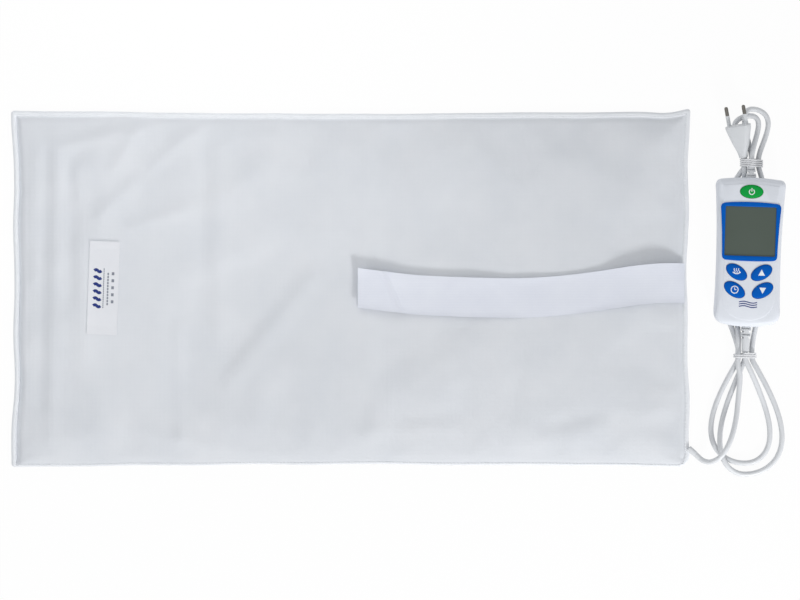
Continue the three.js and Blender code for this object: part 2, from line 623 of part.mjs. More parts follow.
function lobe(hank, from, to, shape, way, flip, climb) {
  const floor = hank.d / 2;
  const [right, left, length, power] = shape;
  const [centre, spread] = hank.crossing;
  return Array.from({ length: LOBE_STEPS * 2 + 1 }, (_, i) => {
    const t = i / (LOBE_STEPS * 2);
    const rise = Math.sin(Math.PI * t);
    const turn = Math.asin(Math.min(rise ** (1 / power), 1));
    const a = 2 * (t < 0.5 ? turn : Math.PI - turn);
    const pinch = Math.cos(a / 2) ** 2;
    const x = (from.x + (to.x - from.x) * t) * pinch + flip * (t < 0.5 ? right : left) * Math.sin(a);
    const out = (length - TIE_HALF) * rise;
    const tied = t < 0.5 ? from : to;
    const [fallStart, fallEnd] = way > 0 ? hank.shownFall : tied.fall;
    const away = ((a * 180) / Math.PI - centre) / spread;
    const hump = climb * Math.exp(-away * away);
    const z = floor + (tied.z - floor) * (1 - smooth(fallStart, fallEnd, out)) + hump;
    return [x, way * (TIE_HALF + out), z];
  });
}

// The five strands at a tie, in the order that the lead runs through them
function hankPasses(hank) {
  const low = hank.d / 2 + TIE_LIFT;
  const fall = hank.hiddenFall;
  return [
    { x: hank.tip.x - hank.at[0], z: hank.tip.z, fall }, { x: -LAYER, z: low, fall },
    { x: LAYER, z: low, fall }, { x: 0, z: low, fall }, { x: hank.lastX, z: low + LAYER, fall: hank.lastFall },
  ];
}

function hankRoute(hank, ending) {
  const [p1, p2, p3, p4, p5] = hankPasses(hank);
  const start = (hank.tip.y - hank.at[1]) * hank.side + GAP;
  const fold = ([right, left, share, power]) => [right, left, share * HANDSET_HALF_LENGTH, power];
  const [wide, narrow] = hank.hidden.map(fold);
  const local = [
    [p1.x, start, p1.z], [p1.x, start / 2, p1.z],
    ...lobe(hank, p1, p2, hank.shown[0], 1, 1, 0),
    ...lobe(hank, p2, p3, wide, -1, -1, 0),
    ...lobe(hank, p3, p4, hank.shown[1], 1, 1, LAYER + GAP),
    ...lobe(hank, p4, p5, narrow, -1, 1, 0),
    ...ending,
  ];
  return local.map(([x, y, z]) => new THREE.Vector3(hank.at[0] + x, hank.at[1] + hank.side * y, z));
}

// Least clear gap of a lead to itself, measured on points a millimetre apart
function selfGap(points, diameter) {
  const fine = resample(points, Math.round(new THREE.CatmullRomCurve3(points).getLength()));
  let least = Infinity;
  let place = [];
  for (let i = 0; i < fine.length; i++) {
    for (let j = i + Math.ceil(3 * diameter); j < fine.length; j++) {
      const gap = fine[i].distanceTo(fine[j]) - diameter;
      if (gap < least) {
        least = gap;
        place = [i, j];
      }
    }
  }
  return `${least.toFixed(2)} at ${place}`;
}

function leadPiece(name, points, diameter, steps, sides) {
  const even = resample(points, steps);
  const length = even.slice(1).reduce((sum, p, i) => sum + p.distanceTo(even[i]), 0);
  console.log(name, 'length', length.toFixed(0), 'gap to itself', selfGap(points, diameter));
  piece(part, name, tube(even, diameter, sides), 0xdddee0, 0.55);
}

// Tie: a few turns of wire round the strands, over the outline that holds them all
function tie(hank, name) {
  const reach = hank.d / 2 + TIE_SLACK + TIE_D / 2;
  const steps = Math.round(TIE_STEPS * TIE_TURNS);
  const points = Array.from({ length: steps + 1 }, (_, i) => {
    const a = (2 * Math.PI * TIE_TURNS * i) / steps + 0.3;
    const [nx, nz] = [Math.cos(a), Math.sin(a)];
    const reachOf = (p) => p.x * nx + p.z * nz;
    const { x, z } = hankPasses(hank).reduce((best, p) => (reachOf(p) > reachOf(best) ? p : best));
    const y = TIE_PITCH * TIE_TURNS * (i / steps - 0.5);
    return new THREE.Vector3(hank.at[0] + x + reach * nx, hank.at[1] + y, z + reach * nz);
  });
  piece(part, name, tube(points, TIE_D, LEAD_SIDES), 0xe6e7e9, 0.5);
}

// Pad lead: hank, tie, and the tail that crosses over the lobes to the pad's corner
const padEnd = hankPasses(padHank)[4];
const padHankEnd = TIE_HALF + PAD_LEAD_D;
const padEnding = [0, 0.5, 1].map((t) => [padEnd.x, -TIE_HALF + (padHankEnd + TIE_HALF) * t, padEnd.z]);
leadPiece('pad_lead_hank', hankRoute(padHank, padEnding), PAD_LEAD_D, 6 * LOBE_STEPS, LEAD_SIDES);
tie(padHank, 'pad_lead_tie');
const glandY = GLAND_FROM_CORNER - PAD_WIDTH / 2;
const [glandEdge] = padPoint(PAD_LENGTH / 2, glandY);
const glandWay = new THREE.Vector3(0.75, -0.66, 0).normalize();
const glandFoot = new THREE.Vector3(glandEdge + GAP - (GLAND_D / 2) * glandWay.y, glandY, GLAND_Z);
const glandTip = glandFoot.clone().addScaledVector(glandWay, GLAND_LENGTH);
piece(part, 'pad_lead_gland', tube([glandFoot, glandTip], GLAND_D, 12), 0xdfe1e4, 0.6);
const tailStart = new THREE.Vector3(padHank.at[0] + padEnd.x, padHank.at[1] - padHankEnd - GAP, padEnd.z);
const tailSecond = tailStart.clone().add(new THREE.Vector3(0, -TAIL_LEAD_OUT, 0));
const between = (a, b, share) => a + (b - a) * share;
const tailPoints = [
  tailStart,
  tailSecond,
  ...PAD_TAIL.map(([across, along, z]) => {
    const x = between(tailSecond.x, glandTip.x, across);
    return new THREE.Vector3(x, between(tailSecond.y, glandTip.y, along), z);
  }),
  glandTip.clone().addScaledVector(glandWay, PAD_LEAD_D / 2 + GAP),
  glandTip.clone().addScaledVector(glandWay, GAP),
];
leadPiece('pad_lead_tail', tailPoints, PAD_LEAD_D, 20, 8);

// Plug: a flat body that narrows to its boot, lying over the hank with its right side raised
const mainsEnd = hankPasses(mainsHank)[4];
const lean = rad(PLUG_LEAN);
const plugWay = new THREE.Vector3(-Math.sin(lean), Math.cos(lean), Math.sin(rad(PLUG_PITCH))).normalize();
const bootFoot = new THREE.Vector3(mainsEnd.x, 0, mainsEnd.z).addScaledVector(plugWay, MAINS_D + GAP);
const mainsEnding = [-TIE_HALF, 0].map((y) => [mainsEnd.x, y, mainsEnd.z]);
mainsEnding.push([0, 1, 2].map((k) => bootFoot.getComponent(k) - GAP * plugWay.getComponent(k)));
leadPiece('mains_lead_hank', hankRoute(mainsHank, mainsEnding), MAINS_D, 5 * LOBE_STEPS, LEAD_SIDES);
tie(mainsHank, 'mains_lead_tie');

const plug = new THREE.Group();
plug.position.set(mainsHank.at[0] + bootFoot.x, mainsHank.at[1] + bootFoot.y, bootFoot.z);
plug.quaternion.setFromUnitVectors(new THREE.Vector3(0, 1, 0), plugWay);
plug.rotateY(-rad(PLUG_ROLL));
part.add(plug);

function plugRing(y, width, thick) {
  const n = 20;
  return Array.from({ length: n }, (_, i) => {
    const a = (2 * Math.PI * i) / n;
    const c = Math.cos(a);
    const s = Math.sin(a);
    const r = (Math.abs(c) ** 4 + Math.abs(s) ** 4) ** -0.25;
    const round = THREE.MathUtils.clamp(y / (PLUG_ROUND * PLUG_LENGTH), 0, 1);
    const k = 1 + (r - 1) * round;
    return new THREE.Vector3((k * c * width) / 2, y, (-k * s * thick) / 2);
  });
}

const plugRings = PLUG_STATIONS.map(([along, width, thick]) => {
  return plugRing(along * PLUG_LENGTH, width * PLUG_FACE[0], thick * PLUG_FACE[1]);
});
piece(plug, 'plug_body', loft(plugRings), 0xdcdde0, 0.5);
for (const [name, way] of [['plug_pin_left', -1], ['plug_pin_right', 1]]) {
  const sleeve = PLUG_LENGTH + GAP;
  const r = PIN_D / 2;
  const tip = sleeve + PIN_LENGTH;
  const profile = [[0, sleeve], [r, sleeve], [r, sleeve + PIN_SLEEVE], [r - 0.15, sleeve + PIN_SLEEVE]];
  profile.push([r - 0.15, tip - 1.2], [r - 1, tip], [0, tip]);
  const geometry = new THREE.LatheGeometry(profile.map(([x, y]) => new THREE.Vector2(x, y)), 14);
  geometry.translate((way * PIN_SPACING) / 2, 0, 0);
  piece(plug, name, geometry, 0xb9bbbd, 0.3, 1);
}

export default part;
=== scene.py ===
# %% [markdown]
# # A heating pad and its hand controller
# A white cotton heating pad lies flat beside its controller. Two leads are folded and tied at the
# controller's ends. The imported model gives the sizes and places, and this script dresses it: cloth, moulded
# plastic and cord.

# %% Load the frame and set up a few helpers
import math

import bpy
from mathutils import Matrix, Vector, noise
from mathutils.bvhtree import BVHTree


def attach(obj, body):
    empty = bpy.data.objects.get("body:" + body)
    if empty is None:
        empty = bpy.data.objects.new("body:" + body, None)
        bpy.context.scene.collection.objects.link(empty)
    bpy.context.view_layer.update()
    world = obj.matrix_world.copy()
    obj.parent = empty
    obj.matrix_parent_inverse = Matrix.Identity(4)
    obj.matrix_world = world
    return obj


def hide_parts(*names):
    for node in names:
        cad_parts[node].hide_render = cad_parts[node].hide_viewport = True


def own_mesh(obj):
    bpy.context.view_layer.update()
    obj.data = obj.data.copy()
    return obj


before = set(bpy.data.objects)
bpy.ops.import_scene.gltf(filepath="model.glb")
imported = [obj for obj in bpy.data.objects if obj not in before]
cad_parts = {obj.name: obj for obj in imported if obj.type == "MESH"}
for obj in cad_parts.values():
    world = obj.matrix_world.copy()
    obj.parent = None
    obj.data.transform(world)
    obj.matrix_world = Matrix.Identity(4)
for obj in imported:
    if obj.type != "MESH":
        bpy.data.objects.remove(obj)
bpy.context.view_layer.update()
MM = 0.001
ROOT = "pad_and_handset"
scene = bpy.context.scene
scene.view_settings.view_transform = "Standard"


def smooth(low, high, x):
    t = min(max((x - low) / (high - low), 0.0), 1.0)
    return t * t * (3 - 2 * t)


def mix(a, b, t):
    return a + (b - a) * t


def mesh_object(name, verts, faces, material, scale=MM, smooth_angle=35):
    """A mesh from points in millimetres, shaded smooth apart from its sharp edges."""
    mesh = bpy.data.meshes.new(name)
    mesh.from_pydata([Vector(v) * scale for v in verts], [], faces)
    mesh.validate()
    mesh.polygons.foreach_set("use_smooth", [True] * len(mesh.polygons))
    mesh.set_sharp_from_angle(angle=math.radians(smooth_angle))
    obj = bpy.data.objects.new(name, mesh)
    scene.collection.objects.link(obj)
    if material:
        mesh.materials.append(material)
    return obj


def ring_faces(rings, count, closed_ends=True):
    """Quads between rings of equal point count, with a polygon over each end."""
    faces = []
    for k in range(rings - 1):
        for i in range(count):
            j = (i + 1) % count
            faces.append((k * count + i, k * count + j, (k + 1) * count + j, (k + 1) * count + i))
    if closed_ends:
        faces.append(tuple(reversed(range(count))))
        faces.append(tuple(range((rings - 1) * count, rings * count)))
    return faces


def loft(name, rings, material, smooth_angle=35):
    verts = [p for ring in rings for p in ring]
    return mesh_object(name, verts, ring_faces(len(rings), len(rings[0])), material, MM, smooth_angle)


# %% [markdown]
# ## Materials
# Every finish starts from its real stuff. One function turns a written sRGB hex colour to linear light, and
# one adds a node with its settings and links, so that a material reads as a short recipe.

# %% Node helpers


def linear(hex_colour):
    """Linear RGBA of an sRGB hex colour."""
    channels = [int(hex_colour[i:i + 2], 16) / 255 for i in (1, 3, 5)]
    return [c / 12.92 if c <= 0.04045 else ((c + 0.055) / 1.055) ** 2.4 for c in channels] + [1.0]


def add_node(tree, kind, settings=None, links=None, **inputs):
    """Add a node, set its properties and sockets, and link its inputs from (node, output) pairs."""
    node = tree.nodes.new(kind)
    for key, value in (settings or {}).items():
        setattr(node, key, value)
    for key, value in inputs.items():
        node.inputs[key.replace("_", " ")].default_value = value
    for key, (source, output) in (links or {}).items():
        tree.links.new(source.outputs[output], node.inputs[key])
    return node


def new_material(name, hex_colour, roughness, **sockets):
    material = bpy.data.materials.new(name)
    material.use_nodes = True
    shader = material.node_tree.nodes["Principled BSDF"]
    shader.inputs["Base Color"].default_value = linear(hex_colour)
    shader.inputs["Roughness"].default_value = roughness
    for key, value in sockets.items():
        shader.inputs[key.replace("_", " ")].default_value = value
    return material, material.node_tree, shader


def tint(tree, shader, mask, output, dark, light):
    """Base colour between two hex colours, by a mask."""
    ramp = add_node(tree, "ShaderNodeValToRGB", None, {"Fac": (mask, output)})
    ramp.color_ramp.elements[0].color = linear(dark)
    ramp.color_ramp.elements[1].color = linear(light)
    tree.links.new(ramp.outputs["Color"], shader.inputs["Base Color"])


def bump(tree, shader, source, output, height_mm, strength=1.0):
    """Bump whose full height is given in millimetres."""
    height = {"Height": (source, output)}
    node = add_node(tree, "ShaderNodeBump", None, height, Strength=strength, Distance=height_mm * MM)
    tree.links.new(node.outputs["Normal"], shader.inputs["Normal"])


def object_noise(tree, size_mm, detail=3.0, stretch=(1, 1, 1)):
    """Noise on Object coordinates whose blotches are about size_mm across."""
    place = add_node(tree, "ShaderNodeTexCoord")
    scaled = add_node(tree, "ShaderNodeMapping", None, {"Vector": (place, "Object")}, Scale=stretch)
    spot = {"Vector": (scaled, "Vector")}
    return add_node(tree, "ShaderNodeTexNoise", None, spot, Scale=1 / (size_mm * MM), Detail=detail)


# %% [markdown]
# ### Cotton, tape and webbing
# The cover is bleached cotton flannel. Its threads are about 0.4 mm apart, too fine for this picture, so the
# weave is drawn at 1.3 mm. A broad faint mottle keeps so large a white sheet from looking like paper. The
# hem, the label and the strap are drawn a little finer.

# %% Woven cloth


def woven_cloth(name, dark, light, thread_mm, rib_height_mm, mottle_mm, along=1.0):
    """Plain weave from two crossed waves, with a faint mottle of shade."""
    nap = {"Specular_IOR_Level": 0.2, "Sheen_Weight": 0.25, "Sheen_Roughness": 0.5}
    material, tree, shader = new_material(name, light, 0.92, **nap)
    place = add_node(tree, "ShaderNodeTexCoord")
    waves = []
    for direction, stretch in (("X", 1.0), ("Y", along)):
        settings = {"wave_type": "BANDS", "bands_direction": direction}
        spot = {"Vector": (place, "Object")}
        threads = add_node(tree, "ShaderNodeTexWave", settings, spot, Distortion=1.2, Detail=1.0)
        threads.inputs["Scale"].default_value = stretch * 2 * math.pi / (20 * thread_mm * MM)
        waves.append(threads)
    weave = add_node(tree, "ShaderNodeMath", {"operation": "MULTIPLY"})
    tree.links.new(waves[0].outputs["Fac"], weave.inputs[0])
    tree.links.new(waves[1].outputs["Fac"], weave.inputs[1])
    mottle = object_noise(tree, mottle_mm, 4.0)
    shade = add_node(tree, "ShaderNodeMath", {"operation": "MULTIPLY_ADD"}, {0: (weave, 0)})
    shade.inputs[1].default_value = 0.3
    tree.links.new(mottle.outputs["Fac"], shade.inputs[2])
    tint(tree, shader, shade, 0, dark, light)
    bump(tree, shader, weave, 0, rib_height_mm, 0.5)
    return material


# Flannel: soft and matt, a cool white that its own folds shade. The hem is doubled; its lighter copy of the
# cotton is painted light for the bright strip the rolled hem catches.
COTTON = woven_cloth("bleached_cotton_flannel", "#D3D7DD", "#E3E5E9", 1.3, 0.2, 55)
PAINTED_LIGHT_HEM_COTTON = woven_cloth("hem_cotton_painted_light", "#E2E5EA", "#EEF0F3", 1.1, 0.1, 20)
# Tape and webbing: smoother and closer than the cover. Webbing shows fine ribs and a bluer white.
LABEL_TAPE = woven_cloth("woven_label_tape", "#DEE0E5", "#E7E8EC", 0.7, 0.05, 30)
WEBBING = woven_cloth("knitted_elastic_webbing", "#DCDFEA", "#E6E9F1", 1.2, 0.08, 25, 0.45)

# %% [markdown]
# ### Moulded plastic, rubber and metal
# The controller is injection-moulded ABS with a fine spark-eroded texture that softens its gloss. The leads
# are satin PVC. The pins are nickel-plated brass. The marks are printed or woven in, so they have no gloss.

# %% Plastics and metal


def moulded_plastic(name, dark, light, roughness, grain_mm=0.5, grain_height_mm=0.012, **sockets):
    """Moulded plastic: a faint shade drift and a fine texture that breaks up its gloss."""
    material, tree, shader = new_material(name, light, roughness, **sockets)
    tint(tree, shader, object_noise(tree, 18, 2.0), "Fac", dark, light)
    bump(tree, shader, object_noise(tree, grain_mm, 2.0), "Fac", grain_height_mm, 0.6)
    return material


# Spark-textured case: a broad, weak sheen. Satin keys and frame: dense colour with hardly a highlight.
CASE = moulded_plastic("spark_textured_abs", "#DFE3EA", "#E7EAF1", 0.5, Specular_IOR_Level=0.25)
BLUE = moulded_plastic("blue_satin_abs", "#0058B5", "#005FC1", 0.4, Specular_IOR_Level=0.06)
GREEN = moulded_plastic("green_satin_abs", "#129A40", "#16A446", 0.4, Specular_IOR_Level=0.06)
# Cord, plug and tie wire: a soft, waxy highlight along each round
PVC = moulded_plastic("satin_cord_pvc", "#D5D7DA", "#DEE0E3", 0.4, 0.9)
PLUG_PVC = moulded_plastic("moulded_plug_pvc", "#CFD2D5", "#D9DBDE", 0.38, 0.7)
TIE = moulded_plastic("coated_tie_wire", "#DCDDE0", "#ECEDEF", 0.35)
# Prints and woven marks: flat and matt
PRINT = moulded_plastic("white_pad_print", "#E9EDF2", "#F4F6F8", 0.5)
NAVY = moulded_plastic("navy_woven_mark", "#1A2C6E", "#243880", 0.85)
GREY_PRINT = moulded_plastic("grey_woven_mark", "#7C818C", "#8A8F99", 0.85)
# Worn nickel plate: dark, with a small bright line
PIN = moulded_plastic("nickel_plated_brass", "#5E5C58", "#74716C", 0.3, 0.6, 0.006, Metallic=1.0)
print("materials", len(bpy.data.materials))

# %% [markdown]
# ## Camera, light and table
# The pad is seen from straight above. One picture pixel is one millimetre on the table, so a long lens 3.5 m
# up frames 800 mm across. The light is a soft window from the lower right, a broad ceiling and an even white
# room. Two weak reflectors lift the pad's left side and its top.

# %% Camera and light
PIXELS = (800, 600)
VIEW_CENTRE = (49, -11)
CAMERA_HEIGHT = 3500
SENSOR = 36
camera_data = bpy.data.cameras.new("camera")
camera_data.sensor_width = SENSOR
camera_data.lens = SENSOR * CAMERA_HEIGHT / PIXELS[0]
camera = bpy.data.objects.new("camera", camera_data)
camera.location = (VIEW_CENTRE[0] * MM, VIEW_CENTRE[1] * MM, CAMERA_HEIGHT * MM)
scene.collection.objects.link(camera)
scene.camera = camera


def soft_lamp(name, place, aim, size, watts):
    data = bpy.data.lights.new(name, "AREA")
    data.shape = "DISK"
    data.size = size
    data.energy = watts
    lamp = bpy.data.objects.new(name, data)
    lamp.location = place
    lamp.rotation_euler = (Vector(aim) - Vector(place)).to_track_quat("-Z", "Y").to_euler()
    scene.collection.objects.link(lamp)


soft_lamp("window", (0.95, -1.65, 0.8), (0, 0, 0), 0.45, 22)
soft_lamp("ceiling", (0.2, 0.3, 2.4), (0.05, 0, 0), 1.6, 4)
soft_lamp("left_reflector", (-0.56, -0.03, 0.38), (-0.25, -0.02, 0), 0.3, 0.3)
soft_lamp("top_reflector", (-0.14, 0.43, 0.32), (-0.12, 0.12, 0), 0.35, 0.6)


def white_to_the_camera(tree, shaded, share):
    """Mix a share of plain white into what camera, glossy and transmission rays see."""
    path = add_node(tree, "ShaderNodeLightPath")
    seen = add_node(tree, "ShaderNodeMath", {"operation": "MAXIMUM"})
    tree.links.new(path.outputs["Is Camera Ray"], seen.inputs[0])
    tree.links.new(path.outputs["Is Glossy Ray"], seen.inputs[1])
    seen_all = add_node(tree, "ShaderNodeMath", {"operation": "MAXIMUM"}, {0: (seen, 0)})
    tree.links.new(path.outputs["Is Transmission Ray"], seen_all.inputs[1])
    part = add_node(tree, "ShaderNodeMath", {"operation": "MULTIPLY"}, {0: (seen_all, 0)})
    part.inputs[1].default_value = share
    kind = "ShaderNodeBackground" if shaded.bl_idname == "ShaderNodeBackground" else "ShaderNodeEmission"
    white = add_node(tree, kind, Color=(1, 1, 1, 1), Strength=1.0)
    blend = add_node(tree, "ShaderNodeMixShader", None, {"Fac": (part, 0)})
    tree.links.new(shaded.outputs[0], blend.inputs[1])
    tree.links.new(white.outputs[0], blend.inputs[2])
    return blend


ROOM_LIGHT = 0.55
world = bpy.data.worlds.new("white_room")
world.use_nodes = True
scene.world = world
room = world.node_tree.nodes["Background"]
room.inputs["Color"].default_value = (0.97, 0.985, 1, 1)
room.inputs["Strength"].default_value = ROOM_LIGHT
seen_room = white_to_the_camera(world.node_tree, room, 1.0)
world.node_tree.links.new(seen_room.outputs[0], world.node_tree.nodes["World Output"].inputs["Surface"])

TABLE_HALF = 3000
table_corners = [(sx * TABLE_HALF, sy * TABLE_HALF, -0.05) for sx, sy in ((-1, -1), (1, -1), (1, 1), (-1, 1))]
table = mesh_object("table", table_corners, [(0, 1, 2, 3)], None)
table_paint, table_tree, table_shader = new_material("matt_white_table", "#F6F6F6", 0.95)
seen_table = white_to_the_camera(table_tree, table_shader, 0.95)
table_tree.links.new(seen_table.outputs[0], table_tree.nodes["Material Output"].inputs["Surface"])
table.data.materials.append(table_paint)
print("lens", round(camera_data.lens, 1), "mm, lamps", len(bpy.data.lights))

# %% [markdown]
# ## The leads
# Each lead is folded into a hank that a twist of wire draws in. Seen from above it makes two tear-shaped
# lobes, and its other folds lie under the controller, which rests on them. A lobe is a sine across and a half
# sine along, so a few real sizes give the whole route. The pad lead then runs on as a free tail to the pad's
# corner.

# %% Places of the controller and the ties
HANDSET_AT = (396.1, 36.6)
HANDSET_TURN = -1.9
HANDSET_LIFT = 5.75
HALF_LENGTH = 74.3
PARTING = 9.0
MAINS_D = 5.2
PAD_LEAD_D = 5.3
LAYER = 6.6
TIE_LIFT = 2.45
TIE_HALF = 4.2
RELIEF_LENGTH = {"mains": 11.5, "pad": 25.0}
GAP = 0.3
handset_swing = Matrix.Rotation(math.radians(HANDSET_TURN), 4, "Z")
to_world = Matrix.Translation((*HANDSET_AT, HANDSET_LIFT)) @ handset_swing


def relief_tip(way, length):
    return to_world @ Vector((0, way * (HALF_LENGTH + length), PARTING))


# A lobe's shape: how far it swells on its way out and on its way back, its length, and how pointed it is.
# A fall says how far from the tie a strand starts to sink to the table, and where it has reached it.
pad_hank = {
    "at": (393.6, -66.2), "side": -1, "d": PAD_LEAD_D, "last_x": -7.8,
    "tip": relief_tip(-1, RELIEF_LENGTH["pad"]),
    "shown": [(26.2, 31.3, 108, 1), (34.6, 26.3, 119, 1)],
    "hidden": [(20.7, 13.9, 83.4, 0.76), (10.6, 6.2, 64.9, 0.32)],
    "crossing": (244, 38), "shown_fall": (0, 52), "hidden_fall": (0, 13), "last_fall": (9.3, 29.1),
}
mains_hank = {
    "at": (400.2, 125.8), "side": 1, "d": MAINS_D, "last_x": -7.8,
    "tip": relief_tip(1, RELIEF_LENGTH["mains"]),
    "shown": [(8.6, 15, 47.5, 0.75), (14.3, 8.5, 54.2, 0.75)],
    "hidden": [(29.2, 14.4, 91.2, 1.11), (11, 6, 70, 0.3)],
    "crossing": (250, 42), "shown_fall": (0, 30), "hidden_fall": (0, 8), "last_fall": (3.6, 13.4),
}

# %% A hank's route
LOBE_STEPS = 120


def lobe(hank, start, end, shape, way, flip, climb):
    """One tear-shaped lobe from one strand at the tie to the next, in millimetres from the tie."""
    right, left, length, power = shape
    floor = hank["d"] / 2
    centre, spread = hank["crossing"]
    points = []
    for i in range(LOBE_STEPS + 1):
        t = i / LOBE_STEPS
        rise = math.sin(math.pi * t)
        turn = math.asin(min(max(rise, 0) ** (1 / power), 1))
        a = 2 * (turn if t < 0.5 else math.pi - turn)
        swell = right if t < 0.5 else left
        x = mix(start["x"], end["x"], t) * math.cos(a / 2) ** 2 + flip * swell * math.sin(a)
        out = (length - TIE_HALF) * rise
        tied = start if t < 0.5 else end
        fall = hank["shown_fall"] if way > 0 else tied["fall"]
        away = (math.degrees(a) - centre) / spread
        z = floor + (tied["z"] - floor) * (1 - smooth(*fall, out)) + climb * math.exp(-away * away)
        points.append((x, way * (TIE_HALF + out), z))
    return points


def strands(hank):
    """The five strands at the tie, in the order that the lead runs through them."""
    low = hank["d"] / 2 + TIE_LIFT
    fall = hank["hidden_fall"]
    first = {"x": hank["tip"].x - hank["at"][0], "z": hank["tip"].z, "fall": fall}
    row = [{"x": x, "z": low, "fall": fall} for x in (-LAYER, LAYER, 0)]
    return [first, *row, {"x": hank["last_x"], "z": low + LAYER, "fall": hank["last_fall"]}]


def hank_route(hank, ending):
    p1, p2, p3, p4, p5 = strands(hank)
    start = (hank["tip"].y - hank["at"][1]) * hank["side"] + GAP
    wide, narrow = hank["hidden"]
    local = [(p1["x"], start, p1["z"]), (p1["x"], start / 2, p1["z"])]
    local += lobe(hank, p1, p2, hank["shown"][0], 1, 1, 0)
    local += lobe(hank, p2, p3, wide, -1, -1, 0)
    local += lobe(hank, p3, p4, hank["shown"][1], 1, 1, LAYER + GAP)
    local += lobe(hank, p4, p5, narrow, -1, 1, 0)
    local += ending
    return [Vector((hank["at"][0] + x, hank["at"][1] + hank["side"] * y, z)) for x, y, z in local]


def resample(points, step):
    """Points an even step apart along a polyline, ends kept."""
    spans = [(b - a).length for a, b in zip(points, points[1:])]
    total = sum(spans)
    count = max(int(round(total / step)), 2)
    result, k, walked = [], 0, 0.0
    for i in range(count + 1):
        goal = total * i / count
        while k < len(spans) - 1 and walked + spans[k] < goal:
            walked += spans[k]
            k += 1
        result.append(points[k].lerp(points[k + 1], (goal - walked) / max(spans[k], 1e-9)))
    return result


def relaxed(points, step, passes):
    """An even route with its corners eased, so that a stiff lead has no kink."""
    even = resample(points, step)
    for _ in range(passes):
        inner = [(a + b * 2 + c) / 4 for a, b, c in zip(even, even[1:], even[2:])]
        even = [even[0], *inner, even[-1]]
    return resample(even, step)


# %% Lead curves
CORD_STEP = 1.6
CORD_SIDES = 5


def poly_curve(name, lines, closed=False):
    """A curve of straight runs through lines of points in millimetres."""
    curve = bpy.data.curves.new(name, "CURVE")
    curve.dimensions = "3D"
    for line in lines:
        spline = curve.splines.new("POLY")
        spline.points.add(len(line) - 1)
        for knot, p in zip(spline.points, line):
            knot.co = (*(p * MM), 1)
        spline.use_cyclic_u = closed
    return curve


def lead_curve(name, points, diameter, material):
    """A round cord along points."""
    curve = poly_curve(name, [points])
    curve.bevel_depth = diameter / 2 * MM
    curve.bevel_resolution = CORD_SIDES
    curve.use_fill_caps = True
    curve.materials.append(material)
    obj = bpy.data.objects.new(name, curve)
    scene.collection.objects.link(obj)
    return obj


def route_length(points):
    return sum((b - a).length for a, b in zip(points, points[1:]))


GLAND_LENGTH = 4.5
GLAND_FOOT = Vector((341.06, -162.4, 3.4))
gland_way = Vector((0.75, -0.66, 0)).normalized()
gland_tip = GLAND_FOOT + gland_way * GLAND_LENGTH
PAD_TAIL = [
    (388, -86, 11.2), (387.4, -99, 9.4), (386, -114, 8.6), (384, -129, 11), (380.6, -143, 14.8),
    (376, -155, 17.4), (370.4, -164.4, 17.2), (364.6, -170, 14.4), (357.4, -172.9, 8.6), (350.5, -171, 4.4),
]
pad_end = strands(pad_hank)[4]
pad_route = hank_route(pad_hank, [(pad_end["x"], y, pad_end["z"]) for y in (0, 4.2, 9.5)])
pad_route += [Vector(p) for p in PAD_TAIL] + [gland_tip + gland_way * 2.9, gland_tip + gland_way * GAP]


def catmull(points, steps):
    """A smooth curve through a short given list of points."""
    ends = [points[0] * 2 - points[1], *points, points[-1] * 2 - points[-2]]
    result = []
    for a, b, c, d in zip(ends, ends[1:], ends[2:], ends[3:]):
        for i in range(steps):
            t = i / steps
            bend, twist = 2 * a - 5 * b + 4 * c - d, 3 * b - a - 3 * c + d
            result.append(0.5 * (2 * b + (c - a) * t + bend * t * t + twist * t ** 3))
    return [*result, points[-1]]


tail_start = len(pad_route) - len(PAD_TAIL) - 4
pad_route = pad_route[:tail_start] + catmull(pad_route[tail_start:], 10)
pad_route = relaxed(pad_route, CORD_STEP, 6)
pad_lead = lead_curve("pad_lead", pad_route, PAD_LEAD_D, PVC)

PLUG_LEAN, PLUG_PITCH, PLUG_ROLL = 11, 9, 28
mains_end = strands(mains_hank)[4]
lean, pitch = math.radians(PLUG_LEAN), math.radians(PLUG_PITCH)
plug_way = Vector((-math.sin(lean), math.cos(lean), math.sin(pitch))).normalized()
boot_foot = Vector((mains_end["x"], 0, mains_end["z"])) + plug_way * (MAINS_D + GAP)
mains_ending = [(mains_end["x"], y, mains_end["z"]) for y in (-2, 0)] + [tuple(boot_foot - plug_way * GAP)]
mains_route = relaxed(hank_route(mains_hank, mains_ending), CORD_STEP, 6)
mains_lead = lead_curve("mains_lead", mains_route, MAINS_D, PVC)
print("pad lead", round(route_length(pad_route)), "mm, mains lead", round(route_length(mains_route)), "mm")

# %% [markdown]
# ## Ties, strain reliefs and plug
# A few turns of coated wire hold each hank. The strain reliefs are slotted by turns from above and from the
# sides, so that they bend evenly. The plug is a flat two-pin one, moulded in one piece with its boot.

# %% Ties
TIE_D = 1.7
TIE_SLACK = 0.6
TIE_PITCH = 2.0
TIE_STEPS = 56


def tie_points(hank, turns_in_all):
    """A helix round the outline that holds all five strands."""
    reach = hank["d"] / 2 + TIE_SLACK + TIE_D / 2
    points = []
    for i in range(int(TIE_STEPS * turns_in_all) + 1):
        turns = i / TIE_STEPS
        a = 2 * math.pi * turns + 0.3
        out = Vector((math.cos(a), 0, math.sin(a)))
        p = max(strands(hank), key=lambda s: s["x"] * out.x + s["z"] * out.z)
        across = TIE_PITCH * (turns - turns_in_all / 2)
        points.append(Vector((hank["at"][0] + p["x"], hank["at"][1] + across, p["z"])) + out * reach)
    return relaxed(points, 0.5, 4)


pad_tie = lead_curve("pad_lead_tie_wire", tie_points(pad_hank, 2.25), TIE_D, TIE)
mains_tie = lead_curve("mains_lead_tie_wire", tie_points(mains_hank, 3.75), TIE_D, TIE)
print("tie points", len(pad_tie.data.splines[0].points), len(mains_tie.data.splines[0].points))

